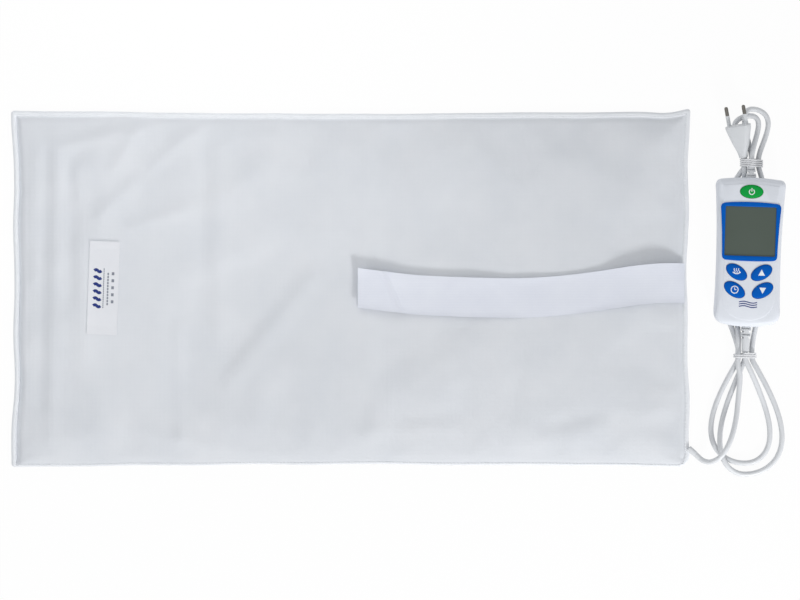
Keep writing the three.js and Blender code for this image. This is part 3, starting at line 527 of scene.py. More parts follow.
# %% Strain reliefs
RELIEF_D = 10.4
RELIEF_TIP_D = 7.4
RELIEF_NECK_D = 8.4
RELIEF_SIDES = 48
NECK_DEPTH = 4.0
FIRST_SLOT = 1.1
SLOT_PITCH = 3.0
SLOT_WIDTH = 1.5
SLOT_DEPTH = 2.5


def relief_radius(y, length):
    return mix(RELIEF_D, RELIEF_TIP_D, smooth(0, length, y)) / 2


def relief_ring(y, radius, slot):
    """One ring of a relief; a slot opens it from above and below or from both sides."""
    ring = []
    for i in range(RELIEF_SIDES):
        a = 2 * math.pi * i / RELIEF_SIDES
        upright = abs(math.sin(a))
        cut = (slot == "flat" and upright > 0.42) or (slot == "side" and upright < 0.82)
        r = radius - SLOT_DEPTH if cut else radius
        ring.append((r * math.cos(a), y, -r * math.sin(a)))
    return ring


def strain_relief(name, way, length, slots):
    """A tapered sleeve from the shell's bore outwards; its neck is held inside the shell."""
    neck, foot = RELIEF_NECK_D / 2, relief_radius(0, length)
    stations = [(-NECK_DEPTH, neck, None), (GAP, neck, None)]
    stations += [(GAP, foot - 0.3, None), (GAP + 0.3, foot, None)]
    for k in range(slots):
        start = FIRST_SLOT + k * SLOT_PITCH
        kind = "side" if k % 2 else "flat"
        for y, slot in ((start, None), (start, kind), (start + SLOT_WIDTH, kind), (start + SLOT_WIDTH, None)):
            stations.append((y, relief_radius(y, length), slot))
    smooth_start = FIRST_SLOT + slots * SLOT_PITCH
    for i in range(1, 7):
        y = mix(smooth_start, length - 0.6, i / 6)
        if y > smooth_start:
            stations.append((y, relief_radius(y, length), None))
    stations.append((length, RELIEF_TIP_D / 2 - 0.5, None))
    rings = [relief_ring(*station) for station in stations]
    spot = to_world @ Matrix.Translation((0, way * HALF_LENGTH, PARTING))
    if way < 0:
        spot = spot @ Matrix.Rotation(math.pi, 4, "X")
    return loft(name, [[spot @ Vector(p) for p in ring] for ring in rings], PVC, 30)


mains_relief = strain_relief("mains_strain_relief", 1, RELIEF_LENGTH["mains"], 3)
pad_relief = strain_relief("pad_strain_relief", -1, RELIEF_LENGTH["pad"], 4)
print("relief faces", len(mains_relief.data.polygons), len(pad_relief.data.polygons))

# %% Plug, pins and gland
PLUG_LENGTH = 33.0
PLUG_FACE = (25.5, 12.5)
PLUG_SIDES = 56
# Shares of the plug's length, width and thickness
PLUG_STATIONS = [
    (0, 0.35, 0.64), (0.182, 0.4, 0.69), (0.364, 0.56, 0.77), (0.545, 0.72, 0.88), (0.727, 0.86, 0.96),
    (0.879, 0.97, 1), (0.976, 1, 1),
]
PIN_D = 4.0
PIN_LENGTH = 19.0
PIN_SLEEVE = 10.0
PIN_SPACING = 18.6
plug_turn = Vector((0, 1, 0)).rotation_difference(plug_way).to_matrix().to_4x4()
plug_place = Matrix.Translation(Vector((*mains_hank["at"], 0)) + boot_foot)
plug_place = plug_place @ plug_turn @ Matrix.Rotation(-math.radians(PLUG_ROLL), 4, "Y")


def plug_ring(y, width, thick):
    """A rounded rectangle that starts as a circle at the boot."""
    ring = []
    for i in range(PLUG_SIDES):
        a = 2 * math.pi * i / PLUG_SIDES
        c, s = math.cos(a), math.sin(a)
        square = (abs(c) ** 4 + abs(s) ** 4) ** -0.25
        k = mix(1, square, smooth(0, 10, y))
        ring.append(plug_place @ Vector((k * c * width / 2, y, -k * s * thick / 2)))
    return ring


plug_size = (PLUG_LENGTH, *PLUG_FACE)
plug_knots = [Vector([share * size for share, size in zip(station, plug_size)]) for station in PLUG_STATIONS]
plug_rings = [plug_ring(*knot) for knot in catmull(plug_knots, 5)]
for inset, along in ((0.25, 0.5), (0.6, 0.2), (1.2, 0)):
    plug_rings.append(plug_ring(PLUG_LENGTH - along, PLUG_FACE[0] - 2 * inset, PLUG_FACE[1] - 2 * inset))
plug_body = loft("plug_moulding", plug_rings, PLUG_PVC, 50)


def turned(name, profile, place, material, sides=40):
    """A body of revolution about its own +Y, from (radius, along) pairs."""
    angles = [2 * math.pi * i / sides for i in range(sides)]
    rings = [[place @ Vector((r * math.cos(a), y, -r * math.sin(a))) for a in angles] for r, y in profile]
    return loft(name, rings, material)


def plug_pin(name, way):
    start = PLUG_LENGTH + GAP
    tip = start + PIN_LENGTH
    r = PIN_D / 2
    place = plug_place @ Matrix.Translation((way * PIN_SPACING / 2, 0, 0))
    neck = start + PIN_SLEEVE
    profile = [(r - 0.1, start - GAP), (r, start), (r, neck - 0.2), (r - 0.15, neck), (r - 0.15, tip - 1.6)]
    profile += [(r - 0.35, tip - 0.8), (r - 0.8, tip - 0.2), (r - 1.4, tip)]
    pin = turned(name, profile, place, PLUG_PVC, 28)
    pin.data.materials.append(PIN)
    for face in pin.data.polygons:
        along = (place.inverted() @ (face.center / MM)).y
        face.material_index = 1 if along > neck - 0.05 else 0
    return pin


pins = [plug_pin("plug_left_pin", -1), plug_pin("plug_right_pin", 1)]
gland_turn = Vector((0, 1, 0)).rotation_difference(gland_way).to_matrix().to_4x4()
gland_place = Matrix.Translation(GLAND_FOOT) @ gland_turn
GLAND_PROFILE = [(2.6, -5), (3.0, -4.7), (3.0, 2.6), (2.9, 3.9), (2.75, GLAND_LENGTH)]
gland = turned("pad_lead_collar", GLAND_PROFILE, gland_place, PVC)
print("plug faces", len(plug_body.data.polygons))

# %% Attach the leads to the pad's body and hide the imported parts they replace
for piece, slot_name, *nodes in (
    (pad_tie, "tie_wire", "pad_lead_tie"), (mains_tie, "tie_wire", "mains_lead_tie"),
    (mains_relief, "cord_pvc", "mains_relief"), (pad_relief, "cord_pvc", "pad_relief"),
    (plug_body, "cord_pvc", "plug_body"), (pins[0], "steel", "plug_pin_left"),
    (pins[1], "steel", "plug_pin_right"), (gland, "cord_pvc", "pad_lead_gland"),
    (pad_lead, "cord_pvc", "pad_lead_hank", "pad_lead_tail"), (mains_lead, "cord_pvc", "mains_lead_hank"),
):
    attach(piece, ROOT)
    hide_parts(*nodes)

# %% [markdown]
# ## The pad
# A cotton cover with a rolled hem holds the felts and the heating wire. Its front starts as a smooth crown. A
# short cloth simulation then lets the front grow a little, with the hem held fast and the middle held softly
# by the felt, so that it puckers as a washed cover does. The long, low folds are added after.

# %% Pad outline and crown
PAD_LENGTH = 678.0
PAD_WIDTH = 356.0
PAD_SIDE_DRAW = 2.5
PAD_CORNER_R = 3.5
PAD_LEAD_CORNER_R = 14.0
HEM_HEIGHT = 3.6
GROOVE_WIDTH = 6.5
# Hem width and height of the groove beside it: left, right, bottom, top
HEMS = ((5.2, 0.6), (4.6, 2.9), (2.4, 3.6), (5.4, 2.8))
HEM_WIDTH = 6.2
CROWN_RUN = 105.0
CROWN_POWER = 2.5
BOTTOM_POWER = 6.0
PAD_HEIGHT = 11.2
# Soft cloth has no straight edge: each side sways by about half this. Its reach is how far in the sway goes.
EDGE_SWAY = 2.4
SWAY_REACH = 40
END_SWAY_LENGTH = 52
SIDE_SWAY_LENGTH = 70
# The upper right corner stands out as an ear with a dip beside it: size, half width, distance from the end.
EAR = (2.4, 11, 0)
EAR_DIP = (1.2, 13, 27)
EAR_REACH = 30
GRID_STEP = 4.6
EDGE_LINES = [0, 0.5, 1.3, 2.3, 3.3, 4.3, 5.2, 6.0, 6.8, 7.7, 8.8, 10.5, 13.0, 16.5]


def grid_lines(length):
    """Grid lines that crowd towards both edges."""
    half = length / 2
    span = 2 * (half - EDGE_LINES[-1])
    count = int(round(span / GRID_STEP))
    middle = [-span / 2 + span * i / count for i in range(1, count)]
    left = [-half + d for d in EDGE_LINES]
    return [*left, *middle, *[-x for x in reversed(left)]]


def pad_point(x, y):
    """A point of the plain rectangle, bent into rounded corners and slightly drawn-in sides."""
    half_x, half_y = PAD_LENGTH / 2, PAD_WIDTH / 2
    radius = PAD_LEAD_CORNER_R if x > 0 and y < 0 else PAD_CORNER_R
    u, v = abs(x) - (half_x - radius), abs(y) - (half_y - radius)
    px, py = x, y
    if u > 0 and v > 0:
        pull = max(u, v) / math.hypot(u, v)
        px = math.copysign(half_x - radius + u * pull, x)
        py = math.copysign(half_y - radius + v * pull, y)
    px *= 1 - PAD_SIDE_DRAW / half_x * (1 - (y / half_y) ** 2)
    py *= 1 - PAD_SIDE_DRAW / half_y * (1 - (x / half_x) ** 2)
    ear, dip = [size * math.exp(-((half_x - away - x) / half) ** 2) for size, half, away in (EAR, EAR_DIP)]
    near_top = smooth(half_y - EAR_REACH, half_y, y)
    near_end = smooth(half_x - SWAY_REACH, half_x, abs(x))
    near_side = smooth(half_y - SWAY_REACH, half_y, abs(y))
    end_sway = noise.noise(Vector((y / END_SWAY_LENGTH, math.copysign(4, x), 0.7)))
    side_sway = 0.5 * noise.noise(Vector((x / SIDE_SWAY_LENGTH, math.copysign(9, y), 0.2)))
    px += EDGE_SWAY * end_sway * near_end
    return px, py + (ear - dip) * near_top + EDGE_SWAY * side_sway * near_side


def side_distances(x, y):
    """Distance from the left, right, bottom and top edges."""
    return PAD_LENGTH / 2 + x, PAD_LENGTH / 2 - x, PAD_WIDTH / 2 + y, PAD_WIDTH / 2 - y


def edge_distance(x, y):
    return min(side_distances(x, y))


def hem_place(x, y):
    """How far a point lies across its hem (0 outside, 1 at the groove), and that groove's height."""
    shares = [d / width for d, (width, _) in zip(side_distances(x, y), HEMS)]
    least = min(shares)
    weights = [math.exp(-(share - least) / 0.25) for share in shares]
    groove = sum(w * height for w, (_, height) in zip(weights, HEMS)) / sum(weights)
    return least, groove


def crown_rise(d, power=CROWN_POWER):
    """Share of the crown's height at a distance from one edge."""
    return 1 - max(1 - (d - HEM_WIDTH) / CROWN_RUN, 0) ** power


def front_height(x, y):
    """The rolled hem, the groove beside it, then the crown over the felts."""
    share, groove = hem_place(x, y)
    if share < 1:
        across = 2 * share - 1
        roll = math.sqrt(max(1 - across * across, 0))
        foot = mix(0.5, groove / HEM_HEIGHT, share)
        return HEM_HEIGHT * mix(foot, 1, roll)
    left, right, bottom, top = side_distances(x, y)
    lip = groove + (HEM_HEIGHT - groove) * smooth(0, GROOVE_WIDTH, (share - 1) * HEM_WIDTH)
    across = max(crown_rise(min(left, right)), 0.001)
    along = max(min(crown_rise(bottom + HEM_WIDTH - HEMS[2][0], BOTTOM_POWER), crown_rise(top)), 0.001)
    rise = (across ** -6 + along ** -6) ** (-1 / 6)
    return lip + (PAD_HEIGHT - HEM_HEIGHT) * rise * smooth(1, 1.6, share)


# %% Front of the cover as a cloth
columns, rows = grid_lines(PAD_LENGTH), grid_lines(PAD_WIDTH)
NX, NY = len(columns), len(rows)
flat_points = [(x, y) for y in rows for x in columns]
front_rest = [Vector((*pad_point(x, y), front_height(x, y))) for x, y in flat_points]
front_faces = [(j * NX + i, j * NX + i + 1, (j + 1) * NX + i + 1, (j + 1) * NX + i)
               for j in range(NY - 1) for i in range(NX - 1)]
CLOTH_FRAMES = 40
# A negative shrink lets the sheet grow, here by half a per cent.
CLOTH_SETTINGS = {
    "quality": 6, "mass": 0.2, "tension_stiffness": 20, "compression_stiffness": 20, "shear_stiffness": 8,
    "bending_stiffness": 60, "vertex_group_mass": "held", "pin_stiffness": 0.6,
    "shrink_min": -0.005, "shrink_max": -0.005,
}
FELT_HOLD = 0.05
FELT_GIVE = 0.35
PUCKER_LIMIT = 1.8
PUCKER_SHARE = 0.55


def puckered(rest, faces):
    """The front after a short cloth simulation; the hem is pinned and the felt holds the middle softly."""
    sheet = mesh_object("front_cloth", rest, faces, None)
    group = sheet.vertex_groups.new(name="held")
    for index, (x, y) in enumerate(flat_points):
        free = smooth(HEM_WIDTH + 1, HEM_WIDTH + 14, edge_distance(x, y))
        group.add([index], mix(1.0, FELT_HOLD, free), "REPLACE")
    cloth = sheet.modifiers.new("cloth", "CLOTH")
    for key, value in CLOTH_SETTINGS.items():
        setattr(cloth.settings, key, value)
    cloth.settings.effector_weights.gravity = 0.0
    cloth.collision_settings.use_collision = False
    cloth.point_cache.frame_end = CLOTH_FRAMES
    for step in range(1, CLOTH_FRAMES + 1):
        scene.frame_set(step)
    graph = bpy.context.evaluated_depsgraph_get()
    settled = sheet.evaluated_get(graph).to_mesh()
    points = [v.co / MM for v in settled.vertices]
    bpy.data.objects.remove(sheet)
    scene.frame_set(1)
    for p, q in zip(points, rest):
        p.z = q.z + min(max(PUCKER_SHARE * (p.z - q.z), -FELT_GIVE), PUCKER_LIMIT)
    return points


front_points = puckered(front_rest, front_faces)
moves = [(p - q).length for p, q in zip(front_points, front_rest)]
print("cloth points", len(front_points), "largest move", round(max(moves), 2), "mm")

# %% [markdown]
# The long folds come from how the pad was packed: upright ones beside the left hem, slack diagonals in the
# upper left and across the middle, and soft hollows along the bottom. Each is a low ridge or hollow along a
# line, up to about two millimetres high or deep. A few slow waves of noise break up what lies between them.

# %% Long folds and the closed cover
# Ridges and hollows: start, end, half width, height
FOLDS = [
    ((-316, 134), (-317, 10), 6, 0.9), ((-303, 134), (-309, -112), 7, -1.6),
    ((-254, 168), (-246, 60), 9, 0.6), ((-292, 130), (-301, -150), 7.5, 1.7),
    ((-282, 120), (-280, -10), 7, -1.6), ((-271, 120), (-266, -70), 7, 1.1),
    ((-294, 141), (-205, 162), 7, 2.2), ((-217, 62), (-166, 79), 7, 1.6), ((-250, 73), (-215, 105), 7, 1.6),
    ((-237, 119), (-217, 151), 7, 1.7), ((-195, 125), (-154, 160), 7, 1.9),
    ((-180, 70), (-90, 112), 16, 1.2), ((-307, -118), (-304, -160), 8, -1.0),
    ((-241, -80), (-225, -120), 34, -1.3), ((-185, -138), (-60, 12), 38, -2.2),
    ((-120, -60), (-20, 60), 30, 0.5), ((-171, -40), (-170, -150), 7, 1.5),
    ((-148, 138), (-148, -57), 9, -1.4), ((-131, 138), (-132, -57), 9, 1.3),
    ((-90, 150), (-20, 62), 52, 1.5), ((14, 160), (20, -140), 10, 0.9), ((42, 160), (46, -140), 22, -0.9),
    ((26, -141), (102, -139), 9, 0.9), ((60, -128), (98, -126), 8, -0.7),
    ((192, -150), (256, -138), 9, 1.0), ((190, -136), (250, -125), 8, -0.8),
    ((280, -128), (318, -118), 9, 0.7), ((303, -26), (306, -126), 18, -0.6),
    ((-214, -140), (-140, -160), 10, 1.2), ((-120, -150), (-60, -162), 10, -0.8),
    ((-135, -79), (-57, 20), 13, -2.0), ((-121, -91), (-43, 8), 13, 2.2), ((120, 60), (260, 120), 70, -0.6),
    ((90, -70), (260, -80), 40, 0.9), ((250, 150), (320, 166), 12, 0.4),
]
# Waves of noise: height, size along the pad's length and its width, place in the noise
DRIFTS = [(0.5, 90, 60, 3.1), (0.2, 34, 28, 7.7), (0.3, 15, 60, 1.4), (0.24, 60, 14, 5.9)]


def fold_height(p):
    total = 0.0
    for start, end, half, height in FOLDS:
        a, b = Vector(start), Vector(end)
        along = min(max((p.xy - a).dot(b - a) / (b - a).length_squared, 0), 1)
        off = (p.xy - mix(a, b, along)).length / half
        total += height * math.exp(-off * off)
    for height, length, width, place in DRIFTS:
        total += height * noise.noise(Vector((p.x / length, p.y / width, place)))
    return total


FELT_TOP = 8.6
FELT_INSET = 59.0
EDGE_ROOM = 2.6
HEM_SWELL = 0.45
HEM_SWELL_LENGTH = 26
# About the pad's width over its length
EDGE_LEAN = 0.53
for p, q, (x, y) in zip(front_points, front_rest, flat_points):
    d = edge_distance(x, y)
    change = p.z - q.z + fold_height(p) * smooth(HEM_WIDTH + 1, HEM_WIDTH + 18, d)
    # The felt stops a hollow before the cloth can reach it.
    over_felt = smooth(FELT_INSET - 20, FELT_INSET - 5, d)
    room = mix(EDGE_ROOM, max(q.z - FELT_TOP, 0.5), over_felt)
    p.z = q.z + (room * math.tanh(change / room) if change < 0 else change)
    # The rolled hem isn't quite even: it fattens and thins along its length.
    hem = 1 - smooth(HEM_WIDTH - 2, HEM_WIDTH + 2, d)
    p.z += hem * HEM_SWELL * noise.noise(Vector((p.x / HEM_SWELL_LENGTH, p.y / HEM_SWELL_LENGTH, 0.4)))


def outline_loop():
    """Indices of the front's border, counter-clockwise from the lower left."""
    bottom = list(range(NX))
    right = [j * NX + NX - 1 for j in range(1, NY)]
    top = [(NY - 1) * NX + i for i in range(NX - 2, -1, -1)]
    left = [j * NX for j in range(NY - 2, 0, -1)]
    return bottom + right + top + left


def closed_cover():
    """The front joined to a flat back by a rounded edge, drawn in towards the middle."""
    border = outline_loop()
    points, faces = list(front_points), list(front_faces)
    previous = border
    for inset, height in ((0.25, 0.9), (0.9, 0.3), (2.2, 0.05)):
        ring = []
        for index in border:
            p = front_points[index]
            outward = Vector((p.x * EDGE_LEAN, p.y)).normalized()
            ring.append(len(points))
            points.append(Vector((*(p.xy - outward * inset), height)))
        n = len(ring)
        faces += [(previous[(k + 1) % n], previous[k], ring[k], ring[(k + 1) % n]) for k in range(n)]
        previous = ring
    faces.append(tuple(reversed(previous)))
    return mesh_object("pad_cover", points, faces, COTTON, MM, 60)


cover = closed_cover()
# The hem's faces take the lighter cotton: painted light along the rolled hem.
cover.data.materials.append(PAINTED_LIGHT_HEM_COTTON)
for face in cover.data.polygons[:len(front_faces)]:
    x, y = [sum(flat_points[i][k] for i in face.vertices) / 4 for k in (0, 1)]
    face.material_index = 1 if hem_place(x, y)[0] < 1 else 0
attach(cover, ROOT)
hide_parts("front_cover", "back_cover")
print("cover faces", len(cover.data.polygons), "folds", len(FOLDS))

# %% [markdown]
# ## Strap and label
# A flat elastic strap is sewn into the right seam and holds the pad round a waist. It lies in a shallow wave,
# lifts near the seam, and is creased where its sewn hook patch ends. The label is a sewn tape whose ends are
# turned in, with a plain mark of rising heat, rows of dashes and a row of squares.

# %% Strap
cover_tree = BVHTree.FromPolygons([p.copy() for p in front_points], front_faces)


def cover_height(x, y):
    """Height of the cover's front under a point, in millimetres."""
    hit = cover_tree.ray_cast(Vector((x, y, 100)), Vector((0, 0, -1)))
    return hit[0].z if hit[0] else HEM_HEIGHT


STRAP_WIDTH = 39.5
STRAP_THICK = 1.0
STRAP_ACROSS = 14
STRAP_RISE_END = 27
# Distance from the pad's right end, middle across the pad, underside over the pad's top, upper edge's curl
STRAP_STATIONS = [
    (332, 1.2, 1.6, 3.0), (317, -0.8, 1.6, 2.6), (299, -3, 1.2, 1.8), (277, -5.5, 0.3, 1.1),
    (260, -6.6, 0.3, 1.0), (215, -8.4, 0.3, 1.2), (170, -9, 0.3, 1.9), (129, -6.5, 0.5, 1.3),
    (90, -1.7, 1.0, 1.3), (59, 3, 1.8, 1.7), (35, 5.5, 1.6, 1.8), (17, 6, -1.5, 1.6), (6, 5.6, -6.2, 0.6),
]
STATION_STEPS = 9
STRAP_CLEARANCE = 0.35
STRAP_RIPPLE = 0.35
LOWER_CURL = 0.9
CREASE_TOP = Vector((33, 16))
CREASE_FOOT = Vector((50, -24))
# The crease is a ridge of this height and half width, and one side of it stands a step higher.
CREASE_RIDGE = (1.6, 1.7)
CREASE_STEP = (1.4, 1.2)


def strap_crease(flat):
    """Lift of the strap near its one slanting crease."""
    line = (CREASE_FOOT - CREASE_TOP).normalized()
    away = flat - CREASE_TOP
    off = away.x * line.y - away.y * line.x
    ridge = CREASE_RIDGE[0] * math.exp(-(off / CREASE_RIDGE[1]) ** 2)
    return ridge + CREASE_STEP[0] * smooth(-CREASE_STEP[1], CREASE_STEP[1], off)


def strap_mesh():
    """A thin closed band along the stations, curled along its edges and creased once."""
    curls = catmull([Vector((curl, 0, 0)) for _, _, _, curl in STRAP_STATIONS], STATION_STEPS)
    rings = []
    for p, curl in zip(strap_path, curls):
        under, over = [], []
        for k in range(STRAP_ACROSS + 1):
            across = 2 * k / STRAP_ACROSS - 1
            y = p.y + across * STRAP_WIDTH / 2
            edge_curl = curl.x * max(across, 0) ** 2 + LOWER_CURL * max(-across, 0) ** 6
            ripple = STRAP_RIPPLE * noise.noise(Vector((p.x / 30, y / 18, 2.2)))
            z = p.z + edge_curl + strap_crease(Vector((p.x, y))) + ripple
            if p.x < PAD_LENGTH / 2 - STRAP_RISE_END:
                z = max(z, cover_height(p.x, y) + STRAP_CLEARANCE)
            under.append(Vector((p.x, y, z)))
            over.append(Vector((p.x, y, z + STRAP_THICK)))
        rings.append(under + over[::-1])
    return loft("waist_strap", rings, WEBBING, 60)


strap_knots = [Vector((PAD_LENGTH / 2 - d, y, PAD_HEIGHT + lift)) for d, y, lift, _ in STRAP_STATIONS]
strap_path = catmull(strap_knots, STATION_STEPS)
strap = strap_mesh()

# %% Hook patch and label
PATCH = (34.0, 34.0, 1.0)
PATCH_LIFT = 0.2
TAPE_CELLS = (12, 30)
FOLD_ROWS = 2


def laid_tape(name, size, centre, turn, lift, material, end_fold=0.0):
    """A thin closed tape laid on the cover, following its folds; end_fold thickens its turned-in ends."""
    width, length, thick = size
    nx, ny = TAPE_CELLS
    rings = []
    swing = Matrix.Rotation(math.radians(turn), 2)
    for j in range(ny + 1):
        under, over = [], []
        for i in range(nx + 1):
            x, y = Vector(centre) + swing @ Vector(((i / nx - 0.5) * width, (j / ny - 0.5) * length))
            z = cover_height(x, y) + lift
            under.append(Vector((x, y, z)))
            fold = end_fold if min(j, ny - j) < FOLD_ROWS else 0
            over.append(Vector((x, y, z + thick + fold)))
        rings.append(over + under[::-1])
    return loft(name, rings, material, 60)


patch_x = PAD_LENGTH / 2 - STRAP_STATIONS[0][0] + PATCH[0] / 2
patch = laid_tape("strap_hook_pile", PATCH, (patch_x, STRAP_STATIONS[1][1]), 0, PATCH_LIFT, WEBBING)
LABEL = (30.0, 93.0, 0.5)
LABEL_AT = (-246.6, 1.0)
LABEL_TURN = -2
LABEL_LIFT = 0.15
LABEL_FOLD = 0.5
label = laid_tape("sewn_label", LABEL, LABEL_AT, LABEL_TURN, LABEL_LIFT, LABEL_TAPE, LABEL_FOLD)

# %% [markdown]
# Printed marks are ribbons that stand less than a tenth of a millimetre proud. Each follows a drawn line and
# then takes the height of the surface under it.

# %% Printed marks


def stroke(points, width):
    """A ribbon along points in a plane: its corner points and its quads."""
    verts, faces = [], []
    last = len(points) - 1
    for i, p in enumerate(points):
        way = (points[min(i + 1, last)] - points[max(i - 1, 0)]).normalized()
        side = Vector((-way.y, way.x)) * width / 2
        verts += [p - side, p + side]
        if i:
            k = 2 * i
            faces.append((k - 2, k, k + 1, k - 1))
    return verts, faces


def arc(centre, radius, start, end, steps=36):
    angles = [math.radians(mix(start, end, i / steps)) for i in range(steps + 1)]
    return [Vector((centre[0] + radius * math.cos(a), centre[1] + radius * math.sin(a))) for a in angles]


def triangle(centre, base, height, way, steps=8):
    """A filled triangle that points up or down, in bands."""
    verts, faces = [], []
    for i in range(steps + 1):
        half = base / 2 * (1 - i / steps) + 0.02
        y = centre[1] + way * height * (i / steps - 0.42)
        verts += [Vector((centre[0] - half, y)), Vector((centre[0] + half, y))]
        if i:
            k = 2 * i
            faces.append((k - 2, k - 1, k + 1, k) if way > 0 else (k - 1, k - 2, k, k + 1))
    return verts, faces


def wave(x, low, high, swing, steps=24):
    shares = [i / steps for i in range(steps + 1)]
    return [Vector((x + swing * math.sin(2 * math.pi * t), mix(low, high, t))) for t in shares]


def printed(name, shapes, surface, material, thick=0.08):
    """Printed marks from flat shapes; surface turns a flat point into a place in millimetres."""
    verts, faces = [], []
    for shape_verts, shape_faces in shapes:
        base = len(verts)
        verts += [surface(v) for v in shape_verts]
        faces += [tuple(base + i for i in face) for face in shape_faces]
    count = len(verts)
    lifted = [v + Vector((0, 0, thick)) for v in verts]
    edges = [pair for face in faces for pair in zip(face, face[1:] + face[:1])]
    inner = set(edges)
    rims = [(a, b, b + count, a + count) for a, b in edges if (b, a) not in inner]
    tops = [tuple(i + count for i in face) for face in faces]
    unders = [tuple(reversed(face)) for face in faces]
    return mesh_object(name, verts + lifted, tops + unders + rims, material, MM, 20)


def label_surface(v):
    x, y = Vector(LABEL_AT) + Matrix.Rotation(math.radians(LABEL_TURN), 2) @ v
    return Vector((x, y, cover_height(x, y) + LABEL_LIFT + LABEL[2]))


def along_label(x, low, high):
    return [Vector((x, mix(low, high, i / 4))) for i in range(5)]


# Six bold waves, then two rows of dashes and a row of plain squares beside them, all along the label.
LABEL_INK = 0.05
WAVE_ROW = -6
heat_waves = [[q.yx + Vector((WAVE_ROW, 0)) for q in wave(y, -3.6, 3.6, 1.0)] for y in range(-18, 19, 7)]
heat_strokes = [stroke(points, 3.0) for points in heat_waves]
label_print = printed("label_heat_mark", heat_strokes, label_surface, NAVY, LABEL_INK)
# Rows of small marks: place across the label, first and last start, pitch, length, width
SMALL_ROWS = [(0.2, -20, 20, 2, 1.5, 0.9), (4.4, -17, 16, 3, 2.2, 1.5), (9.2, -15, 15, 7, 3, 2.6)]
small_strokes = []
for x, first, last, pitch, length, width in SMALL_ROWS:
    small_strokes += [stroke(along_label(x, y, y + length), width) for y in range(first, last, pitch)]
label_small_print = printed("label_small_marks", small_strokes, label_surface, GREY_PRINT, LABEL_INK)
print("label marks", len(heat_strokes), "waves", len(small_strokes), "small ones")

# %% [markdown]
# ### Stitches
# A sewing machine leaves even, slightly sunken stitches along the hem and across both ends of the label.
# Modelling each by hand would take hundreds of pieces, so a Geometry Nodes tree walks along a curve and sets
# one small bead of thread every few millimetres, turned along the seam.

# %% Stitch rows by Geometry Nodes
HEM_PITCH = 3.4
HEM_STITCH = (2.5, 0.75)
LABEL_PITCH = 2.2
LABEL_STITCH = (1.6, 0.45)
HEM_STITCH_SHARE = 0.8
LABEL_STITCH_INSET = 2.0


def stitch_tree():
    """A tree that turns a curve into a row of thread beads."""
    tree = bpy.data.node_groups.new("stitch_row", "GeometryNodeTree")
    tree.interface.new_socket("Geometry", in_out="INPUT", socket_type="NodeSocketGeometry")
    for name in ("Pitch", "Stitch length", "Stitch thickness"):
        tree.interface.new_socket(name, in_out="INPUT", socket_type="NodeSocketFloat")
    tree.interface.new_socket("Thread", in_out="INPUT", socket_type="NodeSocketMaterial")
    tree.interface.new_socket("Geometry", in_out="OUTPUT", socket_type="NodeSocketGeometry")
    source = add_node(tree, "NodeGroupInput")
    seam = {"Curve": (source, "Geometry"), "Length": (source, "Pitch")}
    points = add_node(tree, "GeometryNodeCurveToPoints", {"mode": "LENGTH"}, seam)
    bead = add_node(tree, "GeometryNodeMeshUVSphere", Segments=6, Rings=4, Radius=0.5)
    thick = (source, "Stitch thickness")
    size = {"X": (source, "Stitch length"), "Y": thick, "Z": thick}
    scale = add_node(tree, "ShaderNodeCombineXYZ", None, size)
    shape = {"Geometry": (bead, "Mesh"), "Scale": (scale, "Vector")}
    stitch = add_node(tree, "GeometryNodeTransform", None, shape)
    way = {"Vector": (points, "Tangent")}
    along = add_node(tree, "FunctionNodeAlignRotationToVector", {"axis": "X"}, way)
    rows = {"Points": (points, "Points"), "Instance": (stitch, "Geometry"), "Rotation": (along, "Rotation")}
    placed_beads = add_node(tree, "GeometryNodeInstanceOnPoints", None, rows)
    real = add_node(tree, "GeometryNodeRealizeInstances", None, {"Geometry": (placed_beads, "Instances")})
    coated = {"Geometry": (real, "Geometry"), "Material": (source, "Thread")}
    coat = add_node(tree, "GeometryNodeSetMaterial", None, coated)
    add_node(tree, "NodeGroupOutput", None, {"Geometry": (coat, "Geometry")})
    return tree


STITCHES = stitch_tree()


def stitch_row(name, seams, closed, pitch, stitch, thread):
    """One mesh of stitches along seams, each a list of points in millimetres."""
    guide = bpy.data.objects.new(name + "_guide", poly_curve(name, seams, closed))
    scene.collection.objects.link(guide)
    step = guide.modifiers.new("stitches", "NODES")
    step.node_group = STITCHES
    length, thick = stitch
    wanted = {"Pitch": pitch * MM, "Stitch length": length * MM, "Stitch thickness": thick * MM}
    wanted["Thread"] = thread
    for socket in STITCHES.interface.items_tree:
        if socket.in_out == "INPUT" and socket.name in wanted:
            step[socket.identifier] = wanted[socket.name]
    graph = bpy.context.evaluated_depsgraph_get()
    mesh = bpy.data.meshes.new_from_object(guide.evaluated_get(graph))
    bpy.data.objects.remove(guide)
    row = bpy.data.objects.new(name, mesh)
    scene.collection.objects.link(row)
    mesh.polygons.foreach_set("use_smooth", [True] * len(mesh.polygons))
    return row


def hem_seam():
    """The line of hem stitches, counter-clockwise from the lower left."""
    left, right, bottom, top = [width * HEM_STITCH_SHARE for width, _ in HEMS]
    low = Vector((left - PAD_LENGTH / 2, bottom - PAD_WIDTH / 2))
    high = Vector((PAD_LENGTH / 2 - right, PAD_WIDTH / 2 - top))
    corners = [low, Vector((high.x, low.y)), high, Vector((low.x, high.y))]
    seam = []
    for a, b in zip(corners, corners[1:] + corners[:1]):
        count = int((b - a).length / HEM_PITCH)
        flat = [pad_point(*mix(a, b, i / count)) for i in range(count)]
        seam += [Vector((x, y, cover_height(x, y) + 0.05)) for x, y in flat]
    return seam


def label_seam(way):
    """The line of stitches across one end of the label."""
    half, end = LABEL[0] / 2 - LABEL_STITCH_INSET, way * (LABEL[1] / 2 - LABEL_STITCH_INSET)
    return [label_surface(Vector((mix(-half, half, i / 12), end))) for i in range(13)]
